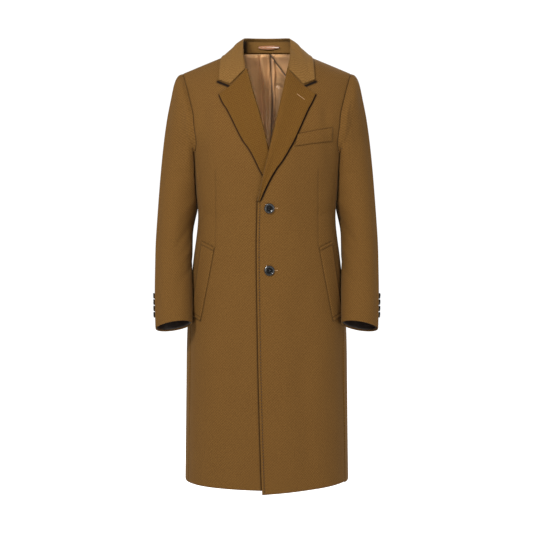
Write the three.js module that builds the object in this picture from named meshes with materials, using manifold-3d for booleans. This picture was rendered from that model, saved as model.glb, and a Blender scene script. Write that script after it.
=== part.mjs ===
import * as THREE from "three";
import { mergeVertices } from "three/addons/utils/BufferGeometryUtils.js";
import Module from "manifold-3d";

// A single-breasted wool overcoat, filled out and hollow, in millimetres, +Z up.
// The origin is the middle of the neck at the height of the shoulder seams' inner ends.
// The front faces -Y and the wearer's left is +X. Each piece is worked out for the +X side, and x is
// turned round for the other side. A piece's x is measured from the centre line towards its own side.

const wasm = await Module();
wasm.setup();
const { clamp, degToRad, lerp, smoothstep } = THREE.MathUtils;
const vec = (x, y, z) => new THREE.Vector3(x, y, z);

// Cloth and clearances
const WOOL = 3;
const LAPEL_CLOTH = 2.6;
const COLLAR_CLOTH = 3.2;
const WELT_CLOTH = 2.2;
const LINING = 1;
const SEAM = 0.3; // half of the space between two pieces along a seam
const LAID = 0.5; // space under a piece that lies on another

// The body, at heights from the hem up: half of the width, and the depths before and behind the middle
const BODY = [
  { z: -1125, halfWidth: 211.5, front: 160, back: 160 },
  { z: -1000, halfWidth: 210, front: 158, back: 158 },
  { z: -860, halfWidth: 208.5, front: 154, back: 155 },
  { z: -728, halfWidth: 206.5, front: 150, back: 150 },
  { z: -630, halfWidth: 200, front: 144, back: 141 },
  { z: -541, halfWidth: 190.5, front: 136, back: 125 },
  { z: -437, halfWidth: 178.5, front: 129, back: 112 },
  { z: -370, halfWidth: 183, front: 132, back: 114 },
  { z: -262, halfWidth: 197, front: 140, back: 124 },
  { z: -190, halfWidth: 228, front: 138, back: 129 },
  { z: -60, halfWidth: 245, front: 130, back: 135 },
  { z: 40, halfWidth: 245, front: 128, back: 142 },
];
const ROUNDNESS = 2 / 2.3; // power of the section's sine and cosine: 1 is an ellipse, less is squarer
const SHOULDER = { neck: 80, slope: 0.415, soft: 30, seamY: 8 };
const ARCH_FRONT = { height: 230, power: 2 };
const ARCH_BACK = { height: 180, power: 2.4 };
const SIDE_SEAM = degToRad(70);

// The armhole, turning from the shoulder forward, under the arm and up the back: the place round the body
const ARMHOLE = [
  { turn: 0, place: 61.5 },
  { turn: 30, place: 58.8 },
  { turn: 60, place: 54.1 },
  { turn: 90, place: 51.5 },
  { turn: 120, place: 57.8 },
  { turn: 145, place: 66.1 },
  { turn: 161, place: 70 },
  { turn: 180, place: 84 },
  { turn: 210, place: 101 },
  { turn: 225, place: 111 },
  { turn: 240, place: 118.4 },
  { turn: 270, place: 122.4 },
  { turn: 300, place: 122.8 },
  { turn: 330, place: 120.4 },
  { turn: 360, place: 118.5 },
];
const ARMHOLE_TOP = -56.3;
const ARMHOLE_BOTTOM = -266;
const ARMPIT_TURN = 161; // where the side seam meets the armhole
const HIND_SEAM = 22;
const FORE_SEAM = 212;
// Points round the armhole that the fronts, the backs and the sleeves share
const FRONT_TURNS = [161, 143, 125, 107, 88, 69.5, 54, 38, 22, 11, 0];
const BACK_TURNS = [161, 178, 195, 212, 232, 252, 272, 292, 310, 328, 344, 360];

// The front edge below the first button, and the roll lines above it
const FRONT_EDGE = [
  { z: -1125, left: -11.6, right: -24 },
  { z: -870, left: -19.4, right: -24 },
  { z: -645, left: -23.5, right: -24 },
  { z: -505, left: -25, right: -24 },
  { z: -400, left: -22.6, right: -23 },
];
const ROLL_LINE = [
  { z: -400, left: -22.6, right: -23 },
  { z: -368, left: -14.4, right: -18 },
  { z: -333, left: -7, right: -12 },
  { z: -288, left: 4.2, right: -4.7 },
  { z: -248, left: 13.5, right: 3.2 },
  { z: -183, left: 29.5, right: 19.6 },
  { z: -122, left: 43, right: 37.5 },
  { z: -88, left: 49.5, right: 46 },
  { z: -58, left: 55.5, right: 54 },
];
const BREAK_Z = -400;
const GORGE_Z = -58;
const NECKLINE = [
  { z: -58, x: 54.8 },
  { z: -40, x: 61 },
  { z: -20, x: 70 },
  { z: 0, x: 80 },
];
const NECK_BACK_Z = 9;
const LAPEL = { rollZ: -61.2, pointZ: -125.5, stepDrop: 5.2, rollLift: 2.6 };
const LAPEL_EDGE = [
  { z: -402, left: -20, right: -20 },
  { z: -374, left: -8.5, right: -9 },
  { z: -341, left: 7.2, right: 4 },
  { z: -317, left: 21, right: 17 },
  { z: -293, left: 38.1, right: 28.5 },
  { z: -268, left: 52.8, right: 42 },
  { z: -243, left: 66.7, right: 59.5 },
  { z: -166, left: 101.5, right: 97.6 },
  { z: -150, left: 110, right: 108 },
  { z: -125, left: 121.5, right: 119 },
];
const HEM = {
  left: { edge: -1121, side: -1105 },
  right: { edge: -1112, side: -1107 },
  back: { edge: -1106, side: -1107 },
};
const VENT = { top: -700, underlap: 36, full: 52, lift: 4.6, fade: 110 };
// How far the left front stands off over what it covers
const LAP = [
  { z: -1125, lift: 3.9 },
  { z: -450, lift: 3.9 },
  { z: -395, lift: 7.4 },
  { z: -280, lift: 7.4 },
  { z: -190, lift: 3 },
  { z: -90, lift: 0 },
  { z: 0, lift: 0 },
];
const LAP_FULL = 30;
const LAP_END = 115;

// The sleeve's sections from the armhole to the cuff: the outer and inner rails, the middle and half of the
// depth, and how much the front of the section is raised and its back lowered
const SLEEVE = [
  { outerX: 219, outerZ: -56.3, innerX: 197, innerZ: -266, middleY: -8, halfDepth: 84, raise: 0 },
  { outerX: 231, outerZ: -63.5, innerX: 198, innerZ: -271, middleY: -7, halfDepth: 84, raise: 0 },
  { outerX: 240.5, outerZ: -83.5, innerX: 189, innerZ: -282, middleY: -4, halfDepth: 82, raise: 0 },
  { outerX: 249.6, outerZ: -125, innerX: 178, innerZ: -300, middleY: 2, halfDepth: 79, raise: 0 },
  { outerX: 260, outerZ: -177, innerX: 172, innerZ: -325, middleY: 7, halfDepth: 75, raise: 0 },
  { outerX: 269, outerZ: -240, innerX: 171, innerZ: -358, middleY: 10, halfDepth: 70, raise: 0 },
  { outerX: 277, outerZ: -322, innerX: 178, innerZ: -400, middleY: 8, halfDepth: 66, raise: 0 },
  { outerX: 284, outerZ: -425, innerX: 190.5, innerZ: -460, middleY: -1, halfDepth: 63, raise: 0 },
  { outerX: 287.5, outerZ: -500, innerX: 192, innerZ: -510, middleY: -14, halfDepth: 60, raise: 3 },
  { outerX: 287, outerZ: -560, innerX: 190.5, innerZ: -560, middleY: -35, halfDepth: 57, raise: 7 },
  { outerX: 285.5, outerZ: -618, innerX: 189, innerZ: -610, middleY: -60, halfDepth: 53, raise: 11 },
  { outerX: 283, outerZ: -670, innerX: 188, innerZ: -658, middleY: -80, halfDepth: 49, raise: 13 },
  { outerX: 280.5, outerZ: -716, innerX: 187.5, innerZ: -700, middleY: -96, halfDepth: 46, raise: 14 },
];
const SLEEVE_CLEAR = { gap: 3.4, from: 262, full: 276 }; // off the body's side, below the armhole
const SLEEVE_HEAD = 4; // sections over which the armhole's own shape fades out
const CUFF_LINING_DEPTH = 2; // in sections

// The collar's lines from the centre back, at 0, to the gorge, at 1
const COLLAR = {
  roll: [
    { at: 0, x: 0, y: 76, z: 49 },
    { at: 0.25, x: 35, y: 68, z: 48 },
    { at: 0.45, x: 55, y: 42, z: 43.5 },
    { at: 0.6, x: 62, y: 10, z: 35 },
    { at: 0.72, x: 62.5, y: -16, z: 17 },
    { at: 0.86, x: 59, y: -55, z: -24 },
    { at: 1, x: 54.5, y: -94, z: -58 },
  ],
  middle: [
    { at: 0, x: 0, y: 91, z: 14 },
    { at: 0.25, x: 43, y: 83, z: 13 },
    { at: 0.45, x: 71, y: 54, z: 13 },
    { at: 0.6, x: 85, y: 15, z: 13 },
    { at: 0.72, x: 87, y: -21, z: 5 },
    { at: 0.86, x: 91, y: -62, z: -34 },
    { at: 1, x: 92, y: -102, z: -99 },
  ],
  leaf: [
    { at: 0, x: 0, y: 98, z: -20 },
    { at: 0.25, x: 49, y: 91, z: -19 },
    { at: 0.45, x: 90, y: 62, z: -16 },
    { at: 0.6, x: 109, y: 18, z: -11 },
    { at: 0.72, x: 116.5, y: -22, z: -18 },
    { at: 0.86, x: 118.5, y: -60, z: -48 },
    { at: 1, x: 121, y: -88, z: -86 },
  ],
};
// The stand's foot along the neckline, in the same measure
const STAND_FOOT = [
  { at: 0, x: 0 },
  { at: 0.25, x: 38 },
  { at: 0.45, x: 64 },
  { at: 0.6, x: 80 },
  { at: 0.72, x: 78 },
  { at: 0.86, x: 69 },
  { at: 1, x: 55 },
];
const STAND_END = 0.74;
const STAND_DROP = 9; // from the roll down to the stand's upper edge
const STAND_FOOT_GAP = 1.3;
const STAND_CLOTH = 2.4;
const STAND_INSIDE = 2.6; // how far the stand's upper edge stands in from the roll
const NECK_MIDDLE_Y = 20;
const ROLL_BULGE = 3.4; // of the fall over its roll

// The welts' corners in the front view
const CHEST_WELT = {
  innerTop: [76.5, -229],
  outerTop: [165, -209],
  outerFoot: [164, -242],
  innerFoot: [69.5, -258.5],
};
const SIDE_WELT = {
  innerTop: [131.5, -511],
  outerTop: [163, -495],
  outerFoot: [189, -683],
  innerFoot: [166, -694],
};

const FRONT_BUTTON = { x: 6.3, upperZ: -413.5, lowerZ: -569, radius: 12.6, thick: 4 };
const CUFF_BUTTON = { radius: 7.4, thick: 3.4, lowestZ: -680, step: 15.8, turn: 357, count: 4 };
const LOOP = { middle: 6, half: 28, top: 29, foot: 18.5, thick: 1.6, bow: 2.2 };
const LINING_HEM = 26; // above the coat's hem
const LINING_CLEAR = { top: 1.6, below: 3.2, by: 120, halfWidth: 240, behind: 0.8 };
// The lining's folds, from the wearer's right to the left: where each is, how wide, and how far it stands in
const LINING_FOLDS = [
  { x: -46, width: 16, depth: 4 },
  { x: -22, width: 13, depth: 6 },
  { x: -2, width: 11, depth: 3 },
  { x: 14, width: 9, depth: 6 },
  { x: 44, width: 18, depth: 5 },
];

// Reads a column of a table, sorted by its key column, along a smooth curve through the rows.
function read(rows, key, column, place) {
  const direction = Math.sign(rows[rows.length - 1][key] - rows[0][key]);
  let i = 0;
  while (i < rows.length - 2 && (place - rows[i + 1][key]) * direction > 0) i += 1;
  const slope = (n) => {
    const before = rows[Math.max(n - 1, 0)];
    const after = rows[Math.min(n + 1, rows.length - 1)];
    return (after[column] - before[column]) / (after[key] - before[key]);
  };
  const [from, to] = [rows[i], rows[i + 1]];
  const span = to[key] - from[key];
  const t = clamp((place - from[key]) / span, 0, 1);
  const [t2, t3] = [t * t, t * t * t];
  const ends = from[column] * (2 * t3 - 3 * t2 + 1) + to[column] * (3 * t2 - 2 * t3);
  return ends + span * (slope(i) * (t3 - 2 * t2 + t) + slope(i + 1) * (t3 - t2));
}

function shoulderHeight(x) {
  const rounding = Math.hypot(SHOULDER.neck, SHOULDER.soft);
  return -SHOULDER.slope * (Math.hypot(x, SHOULDER.soft) - rounding);
}

const arch = (drop, { height, power }) => (1 - (1 - clamp(drop / height, 0, 1)) ** power) ** (1 / power);

// A point of the body's outer surface: place is the angle from the centre front round to the centre back.
function bodyPoint(place, z) {
  const [across, along] = [Math.sin(place), Math.cos(place)];
  const behind = along < 0;
  const x = read(BODY, "z", "halfWidth", z) * Math.sign(across) * Math.abs(across) ** ROUNDNESS;
  const depth = behind ? read(BODY, "z", "back", z) : -read(BODY, "z", "front", z);
  const open = arch(shoulderHeight(x) - z, behind ? ARCH_BACK : ARCH_FRONT);
  const seam = SHOULDER.seamY + (behind ? SEAM : -SEAM);
  return vec(x, seam + (depth * Math.abs(along) ** ROUNDNESS - seam) * open, z);
}

function bodyNormal(place, z) {
  const { x } = bodyPoint(place, z);
  const shoulder = shoulderHeight(x) - z;
  if (shoulder < 1.5) return vec((SHOULDER.slope * x) / Math.hypot(x, SHOULDER.soft), 0, 1).normalize();
  const [turn, rise] = [0.012, 0.7];
  const round = bodyPoint(place + turn, z).sub(bodyPoint(place - turn, z));
  const up = bodyPoint(place, z + rise).sub(bodyPoint(place, z - rise));
  return round.cross(up).normalize();
}

function placeAt(x, z, behind = false) {
  const share = clamp(Math.abs(x) / read(BODY, "z", "halfWidth", z), 0, 1);
  const place = Math.sign(x) * Math.asin(share ** (1 / ROUNDNESS));
  return behind ? Math.PI - place : place;
}

const moved = (point, normal, by) => point.clone().addScaledVector(normal, by);

// The armhole is lowest where it meets the side seam.
function armholeZ(turn) {
  const ahead = turn < ARMPIT_TURN;
  const share = ahead ? turn / ARMPIT_TURN : (360 - turn) / (360 - ARMPIT_TURN);
  return lerp(ARMHOLE_BOTTOM, ARMHOLE_TOP, (1 + Math.cos(Math.PI * share)) / 2);
}

function armholePlace(turn) {
  return degToRad(read(ARMHOLE, "turn", "place", turn));
}

// A closed wall between an outer and an inner grid of points, joined round their edges.
function wall({ outer, inner, closed = false }) {
  const [rows, columns] = [outer.length, outer[0].length];
  const points = [outer, inner].flat(2);
  const at = (layer, i, j) => (layer * rows + i) * columns + (j % columns);
  const faces = [];
  const quad = (a, b, c, d) => faces.push([a, b, c], [a, c, d]);
  const across = closed ? columns : columns - 1;
  for (let j = 0; j < across; j += 1) {
    for (let i = 0; i < rows - 1; i += 1) {
      quad(at(0, i, j), at(0, i, j + 1), at(0, i + 1, j + 1), at(0, i + 1, j));
      quad(at(1, i, j), at(1, i + 1, j), at(1, i + 1, j + 1), at(1, i, j + 1));
    }
    quad(at(0, 0, j), at(1, 0, j), at(1, 0, j + 1), at(0, 0, j + 1));
    quad(at(0, rows - 1, j), at(0, rows - 1, j + 1), at(1, rows - 1, j + 1), at(1, rows - 1, j));
  }
  for (let i = 0; i < rows - 1 && !closed; i += 1) {
    quad(at(0, i, 0), at(0, i + 1, 0), at(1, i + 1, 0), at(1, i, 0));
    quad(at(0, i, across), at(1, i, across), at(1, i + 1, across), at(0, i + 1, across));
  }
  const volume = faces.reduce((sum, [a, b, c]) => {
    return sum + points[a].dot(points[b].clone().cross(points[c]));
  }, 0);
  const outward = volume > 0 ? faces : faces.map(([a, b, c]) => [a, c, b]);
  const geometry = new THREE.BufferGeometry();
  geometry.setAttribute("position", new THREE.Float32BufferAttribute(points.flatMap((p) => p.toArray()), 3));
  geometry.setIndex(outward.flat());
  return geometry;
}

// The normals of a grid, from each point's neighbours; they point to columns cross rows.
function gridNormals(grid, closed = false) {
  const last = grid.length - 1;
  return grid.map((row, i) => row.map((point, j) => {
    const count = row.length;
    const before = closed ? (j + count - 1) % count : Math.max(j - 1, 0);
    const after = closed ? (j + 1) % count : Math.min(j + 1, count - 1);
    const across = row[after].clone().sub(row[before]);
    const down = grid[Math.min(i + 1, last)][j].clone().sub(grid[Math.max(i - 1, 0)][j]);
    return across.cross(down).normalize();
  }));
}

function offsetGrid(grid, normals, by) {
  return grid.map((row, i) => row.map((point, j) => moved(point, normals[i][j], by)));
}

// The same grid on the wearer's right
const mirrorGrid = (grid) => grid.map((row) => row.map((p) => vec(-p.x, p.y, p.z)));
function mirrorSheet({ outer, inner, closed }) {
  return { outer: mirrorGrid(outer), inner: mirrorGrid(inner), closed };
}

const steps = (count) => Array.from({ length: count + 1 }, (_, n) => n / count);

// Rows from the hem to the armpit. Above it a row ends at each shared point of the armhole.
const BODY_ROWS = 14;

function lapLift(side, x, z) {
  if (side !== "left") return 0;
  return read(LAP, "z", "lift", z) * (1 - smoothstep(x, LAP_FULL, LAP_END));
}

// A front's surface at x and z in the front view, moved out by `out`
function frontPoint(side, x, z, out = 0) {
  const place = placeAt(x, z);
  return moved(bodyPoint(place, z), bodyNormal(place, z), lapLift(side, x, z) + out);
}

function innerEdge(side, z) {
  if (z <= BREAK_Z) return read(FRONT_EDGE, "z", side, z);
  return z <= GORGE_Z ? read(ROLL_LINE, "z", side, z) : read(NECKLINE, "z", "x", z);
}

function frontPanel(side) {
  const armpitZ = armholeZ(ARMPIT_TURN);
  const ends = steps(BODY_ROWS).map((t) => {
    const z = lerp(HEM[side].side, armpitZ, t);
    return { edgeZ: lerp(HEM[side].edge, ARMHOLE_BOTTOM, t), z, x: bodyPoint(SIDE_SEAM - SEAM / 200, z).x };
  });
  for (const turn of FRONT_TURNS.slice(1)) {
    const rise = 1 - turn / ARMPIT_TURN;
    const z = armholeZ(turn);
    ends.push({
      edgeZ: ARMHOLE_BOTTOM * (1 - Math.sin((rise * Math.PI) / 2)),
      z,
      x: bodyPoint(armholePlace(turn), z).x,
    });
  }
  const shares = [0, 0.09, 0.19, 0.3, 0.41, 0.52, 0.63, 0.74, 0.84, 0.93, 1];
  const grid = (out) => ends.map(({ edgeZ, z, x }, row) => shares.map((share) => {
    const across = lerp(innerEdge(side, edgeZ), x, share);
    const straight = lerp(edgeZ, z, share);
    const raised = row === ends.length - 1 ? shoulderHeight(across) : straight;
    return frontPoint(side, across, raised, out);
  }));
  return { outer: grid(0), inner: grid(-WOOL) };
}

// A place on the flat faces of a made front, moved out: what lies on it is made from these
const madeFronts = {};

function onFront(side, x, z, out) {
  madeFronts[side] ??= frontPanel(side).outer;
  const grid = madeFronts[side];
  const triangle = new THREE.Triangle();
  const flat = (p) => vec(p.x, p.z, 0);
  for (let i = 0; i < grid.length - 1; i += 1) {
    for (let j = 0; j < grid[0].length - 1; j += 1) {
      const [a, b, c, d] = [grid[i][j], grid[i][j + 1], grid[i + 1][j + 1], grid[i + 1][j]];
      for (const corners of [[a, b, c], [a, c, d]]) {
        triangle.set(...corners.map(flat));
        const weights = triangle.getBarycoord(vec(x, z, 0), vec(0, 0, 0));
        if (weights && Math.min(weights.x, weights.y, weights.z) > -1e-6) {
          const y = corners[0].y * weights.x + corners[1].y * weights.y + corners[2].y * weights.z;
          return moved(vec(x, y, z), bodyNormal(placeAt(x, z), z), out);
        }
      }
    }
  }
  return frontPoint(side, x, z, out);
}

function topOfBack(x) {
  return x < SHOULDER.neck ? NECK_BACK_Z * (1 - (x / SHOULDER.neck) ** 2) : shoulderHeight(x);
}

// A back: `under` carries the vent's underlap past the centre line, the other side laps over it.
function backPanel({ under, inset = 0, out = 0, shares, hemUp = 0, first = 0 }) {
  const hem = HEM.back;
  const armpitZ = armholeZ(ARMPIT_TURN);
  const ventRows = [VENT.top - 4, VENT.top + 4];
  const lower = steps(BODY_ROWS).map((t) => lerp(hem.edge, ARMHOLE_BOTTOM, t));
  const nearVent = (z) => ventRows.some((v) => Math.abs(v - z) < 25);
  const heights = [...lower.filter((z) => !nearVent(z)), ...ventRows].sort((a, b) => a - b);
  const rows = heights.map((centreZ) => {
    const t = (centreZ - hem.edge) / (ARMHOLE_BOTTOM - hem.edge);
    return { rise: 0, centreZ, z: lerp(hem.side, armpitZ, t), place: SIDE_SEAM + (SEAM + inset) / 200 };
  });
  for (const turn of BACK_TURNS.slice(1)) {
    const rise = (turn - ARMPIT_TURN) / (360 - ARMPIT_TURN);
    const centreZ = lerp(ARMHOLE_BOTTOM, NECK_BACK_Z, Math.sin((rise * Math.PI) / 2));
    rows.push({ rise, centreZ, z: armholeZ(turn), place: armholePlace(turn) + inset / 200 });
  }
  return rows.map(({ rise, centreZ, z, place }) => shares.map((share) => {
    const open = centreZ < VENT.top;
    const start = first || (under && open ? -VENT.underlap : SEAM);
    const centre = placeAt(start, centreZ, true);
    const here = lerp(centre, place, share);
    const straight = lerp(centreZ, z, share);
    const ends = [NECK_BACK_Z, ARMHOLE_TOP];
    const top = topOfBack(Math.abs(bodyPoint(here, straight).x)) - lerp(ends[0], ends[1], share);
    const height = straight + top * rise ** 2 + (centreZ === hem.edge ? hemUp : 0);
    const near = 1 - smoothstep(Math.abs(bodyPoint(here, height).x), VENT.full, VENT.fade);
    const lapped = under || first ? 0 : VENT.lift * near * (1 - smoothstep(height, VENT.top, VENT.top + 70));
    return moved(bodyPoint(here, height), bodyNormal(here, height), lapped + out);
  }));
}

const BACK_SHARES = [0, 0.1, 0.24, 0.4, 0.55, 0.7, 0.85, 1];

function backSheet(under) {
  const grid = (out) => backPanel({ under, out, shares: BACK_SHARES });
  return { outer: grid(0), inner: grid(-WOOL) };
}

// One piece from side to side inside the back, with the folds that hang from the neck
function backLining() {
  const shares = [0, 0.05, 0.1, 0.17, 0.24, 0.4, 0.55, 0.7, 0.85, 0.98];
  const half = (out) => backPanel({ inset: 1, out, shares, hemUp: LINING_HEM, first: 0.01 });
  const whole = (out) => half(out).map((row) => [...mirrorGrid([row])[0].reverse(), ...row.slice(1)]);
  const fold = (x, z) => LINING_FOLDS.reduce((sum, { x: middle, width, depth }) => {
    return sum + depth * Math.exp(-(((x - middle) / width) ** 2) * 2);
  }, 0) * (1 - 0.6 * smoothstep(-z, 300, 900));
  const foldIn = (p) => vec(p.x, p.y - fold(p.x, p.z), p.z);
  const inward = (z) => -lerp(LINING_CLEAR.top, LINING_CLEAR.below, smoothstep(-z, 0, LINING_CLEAR.by));
  const dropTop = (row, i, rows) => (i === rows.length - 1 ? row.map((p) => vec(p.x, p.y, p.z - 4)) : row);
  const clearOf = (p) => vec(
    p.x * (1 + inward(p.z) / LINING_CLEAR.halfWidth),
    p.y + inward(p.z) * Math.sign(p.y) * LINING_CLEAR.behind,
    p.z,
  );
  const layer = (out) => whole(out).map(dropTop).map((row) => row.map(clearOf).map(foldIn));
  return { outer: layer(-WOOL), inner: layer(-WOOL - LINING) };
}

// A sleeve's outer surface: turn as on the armhole, section counted down the table
const SLEEVE_ROWS = SLEEVE.map((row, section) => ({ section, ...row }));

function sleevePoint(turn, section) {
  const rail = (column) => read(SLEEVE_ROWS, "section", column, section);
  const [x1, z1, x2, z2] = ["outerX", "outerZ", "innerX", "innerZ"].map(rail);
  const [out, ahead] = [Math.cos(degToRad(turn)), Math.sin(degToRad(turn))];
  return vec(
    (x1 + x2) / 2 + ((x1 - x2) / 2) * out,
    rail("middleY") - rail("halfDepth") * ahead,
    (z1 + z2) / 2 + ((z1 - z2) / 2) * out + rail("raise") * ahead,
  );
}

// Half of the body's width at a depth and height below the armhole
function bodySide(y, z) {
  const depth = read(BODY, "z", y > 0 ? "back" : "front", z);
  const share = Math.min(Math.abs(y) / depth, 1);
  return read(BODY, "z", "halfWidth", z) * (1 - share ** (2 / ROUNDNESS)) ** (ROUNDNESS / 2);
}

function sleeveSurface(turn, section) {
  const round = ((turn % 360) + 360) % 360;
  const point = sleevePoint(round, section);
  const place = armholePlace(round);
  const height = armholeZ(round);
  const own = bodyPoint(place, height).sub(sleevePoint(round, 0));
  const fade = 1 - smoothstep(section, -1, SLEEVE_HEAD);
  point.addScaledVector(own, section < 0.001 ? 1 : fade);
  const short = bodySide(point.y, point.z) + SLEEVE_CLEAR.gap - point.x;
  point.x += Math.max(short, 0) * smoothstep(-point.z, SLEEVE_CLEAR.from, SLEEVE_CLEAR.full);
  return point;
}

// The space between the armhole's edge and the sleeve, away from the body's panels
function armholeGap(turn) {
  const along = sleeveSurface(turn + 3, 0).sub(sleeveSurface(turn - 3, 0));
  const round = ((turn % 360) + 360) % 360;
  const normal = bodyNormal(armholePlace(round), armholeZ(round));
  return { away: normal.clone().cross(along).normalize(), normal };
}

function sleeveSheet(turns, sections, thick, out = 0) {
  const surface = sections.map((section) => turns.map((turn) => sleeveSurface(turn, section)));
  const normals = sections.map((section) => turns.map((turn) => {
    const [before, after] = [Math.max(section - 0.3, 0), Math.min(section + 0.3, SLEEVE.length - 1)];
    const round = sleeveSurface(turn + 4, section).sub(sleeveSurface(turn - 4, section));
    const down = sleeveSurface(turn, after).sub(sleeveSurface(turn, before));
    return round.cross(down).normalize();
  }));
  if (sections[0] === 0) {
    turns.forEach((turn, j) => {
      const { away, normal } = armholeGap(turn);
      const radial = vec(0, -Math.sin(degToRad(turn)), Math.cos(degToRad(turn)));
      normals[0][j] = normal.clone().add(radial).normalize();
      surface[0][j].addScaledVector(away, 2 * SEAM);
    });
  }
  return { outer: offsetGrid(surface, normals, out), inner: offsetGrid(surface, normals, out - thick) };
}

const SLEEVE_SECTIONS = [0, 0.5, 1, 1.6, 2.3, 3, 4, 5, 6, 7, 8, 9, 10, 11, 12];
const SEAM_TURN = 0.3;
const sharedTurns = [...FRONT_TURNS, ...FRONT_TURNS.map((turn) => turn + 360), ...BACK_TURNS];

// The shared points between two seams, with a point just inside each seam
function turnsBetween(from, to) {
  const inside = sharedTurns.filter((turn) => turn > from + 1 && turn < to - 1);
  return [from + SEAM_TURN, ...new Set(inside.sort((a, b) => a - b)), to - SEAM_TURN];
}

const sleeveTop = () => sleeveSheet(turnsBetween(HIND_SEAM, FORE_SEAM), SLEEVE_SECTIONS, WOOL);
const sleeveUnder = () => sleeveSheet(turnsBetween(FORE_SEAM, HIND_SEAM + 360), SLEEVE_SECTIONS, WOOL);

function cuffLining() {
  const last = SLEEVE.length - 1;
  const sections = [last - CUFF_LINING_DEPTH, last - 1, last - 0.06];
  const turns = [HIND_SEAM, ...turnsBetween(HIND_SEAM, FORE_SEAM).slice(1, -1)];
  turns.push(FORE_SEAM, ...turnsBetween(FORE_SEAM, HIND_SEAM + 360).slice(1, -1));
  return { ...sleeveSheet(turns, sections, LINING, -WOOL - LAID), closed: true };
}

// Collar
const neckline = (at) => {
  const x = read(STAND_FOOT, "at", "x", at);
  if (at <= 0.6) return bodyPoint(placeAt(x, topOfBack(x), true), topOfBack(x));
  const zs = steps(60).map((t) => lerp(GORGE_Z, 0, t));
  const z = zs.find((height) => read(NECKLINE, "z", "x", height) >= x - 0.001) ?? 0;
  return bodyPoint(placeAt(x, z), z);
};

function collarLine(at, name) {
  const [x, y, z] = ["x", "y", "z"].map((column) => read(COLLAR[name], "at", column, Math.abs(at)));
  return vec(Math.sign(at) * x, y, z);
}

const towardsNeck = (roll) => vec(-roll.x, NECK_MIDDLE_Y - roll.y, 0).normalize();

// Keeps a point of the collar at least `clear` off the body, measured square to it.
function clearOfBody(point, clear) {
  const x = Math.abs(point.x);
  const behind = point.y > SHOULDER.seamY;
  let low = -260;
  let high = shoulderHeight(x);
  const reach = (z) => Math.abs(bodyPoint(placeAt(x, z, behind), z).y - SHOULDER.seamY);
  for (let n = 0; n < 30; n += 1) {
    const middle = (low + high) / 2;
    if (reach(middle) > Math.abs(point.y - SHOULDER.seamY)) low = middle;
    else high = middle;
  }
  const place = placeAt(x, high, behind);
  const normal = bodyNormal(place, high);
  const on = bodyPoint(place, high);
  const off = vec(x, point.y, point.z).sub(on).dot(normal);
  if (off >= clear) return point;
  normal.x *= Math.sign(point.x) || 1;
  return moved(point, normal, clear - off);
}

const COLLAR_ACROSS = steps(24).map((t) => 2 * t - 1);
const COLLAR_DOWN = [0, 0.22, 0.42, 0.6, 0.8, 1];

const COLLAR_CLEAR = COLLAR_CLOTH + LAID + 0.7; // from the body to the collar's outer face
const UNDER_CLEAR = COLLAR_CLEAR - 1;
const OUTWARD_RISE = 26; // how far the roll's bulge looks up, against its way out from the neck

function collarFall() {
  const split = COLLAR_DOWN[3];
  const outer = [-1, ...COLLAR_DOWN].map((down) => COLLAR_ACROSS.map((at) => {
    const [roll, middle, leaf] = ["roll", "middle", "leaf"].map((name) => collarLine(at, name));
    const fade = 1 - Math.abs(at) ** 6;
    if (down < 0) {
      const turnedIn = moved(roll, towardsNeck(roll), ROLL_BULGE * fade);
      turnedIn.z -= ROLL_BULGE / 2;
      return clearOfBody(turnedIn, UNDER_CLEAR);
    }
    const upper = Math.min(down / split, 1);
    const lower = Math.max(down - split, 0) / (1 - split);
    const point = roll.clone().lerp(middle, upper).lerp(leaf, lower);
    const outward = vec(roll.x, roll.y - NECK_MIDDLE_Y, OUTWARD_RISE).normalize();
    const bulge = ROLL_BULGE * Math.sin(Math.PI * upper) * fade;
    return clearOfBody(moved(point, outward, bulge), COLLAR_CLEAR);
  }));
  const normals = gridNormals(outer);
  return { outer, inner: offsetGrid(outer, normals, -COLLAR_CLOTH) };
}

function collarStand() {
  const across = steps(16).map((t) => STAND_END * (2 * t - 1));
  const outer = [0, 0.5, 1].map((up) => across.map((at) => {
    const seat = neckline(Math.abs(at));
    seat.x *= Math.sign(at) || 1;
    const roll = collarLine(at, "roll");
    const drop = STAND_DROP + 3 * smoothstep(Math.abs(at), 0.5, STAND_END);
    const reach = 1 - drop / roll.distanceTo(seat);
    const top = moved(seat.clone().lerp(roll, reach), towardsNeck(roll), STAND_INSIDE);
    const lifted = moved(seat, top.clone().sub(seat).normalize(), STAND_FOOT_GAP);
    return lifted.lerp(top, up);
  }));
  const normals = gridNormals(outer);
  return { outer, inner: offsetGrid(outer, normals, -STAND_CLOTH) };
}

// A piece that lies on a front. spots holds x, z and how far each point is raised; each cell of its
// underside is lifted until it is clear of the front's flat faces.
function laidOn(side, spots, thick) {
  const under = spots.map((row) => row.map(([x, z, raised]) => onFront(side, x, z, LAID + raised)));
  const normals = spots.map((row) => row.map(([x, z]) => bodyNormal(placeAt(x, z), z)));
  const shares = [0, 0.25, 0.5, 0.75, 1];
  for (let i = 0; i < under.length - 1; i += 1) {
    for (let j = 0; j < under[0].length - 1; j += 1) {
      const cell = [[i, j], [i, j + 1], [i + 1, j + 1], [i + 1, j]];
      const [a, b, c, d] = cell.map(([m, n]) => under[m][n].clone());
      let short = 0;
      for (const u of shares) {
        for (const v of shares) {
          const spot = a.clone().lerp(b, u).lerp(d.clone().lerp(c, u), v);
          const [corner, share] = u > v ? [b, v] : [d, u];
          const fold = a.clone().lerp(corner, Math.abs(u - v)).lerp(c, share);
          for (const p of [spot, fold]) {
            const normal = bodyNormal(placeAt(p.x, p.z), p.z);
            const off = (onFront(side, p.x, p.z, 0).y - p.y) * Math.abs(normal.y);
            short = Math.max(short, SEAM + 0.1 - off);
          }
        }
      }
      for (const [m, n] of cell) under[m][n].addScaledVector(normals[m][n], short);
    }
  }
  return { outer: offsetGrid(under, normals, thick), inner: under };
}

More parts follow.
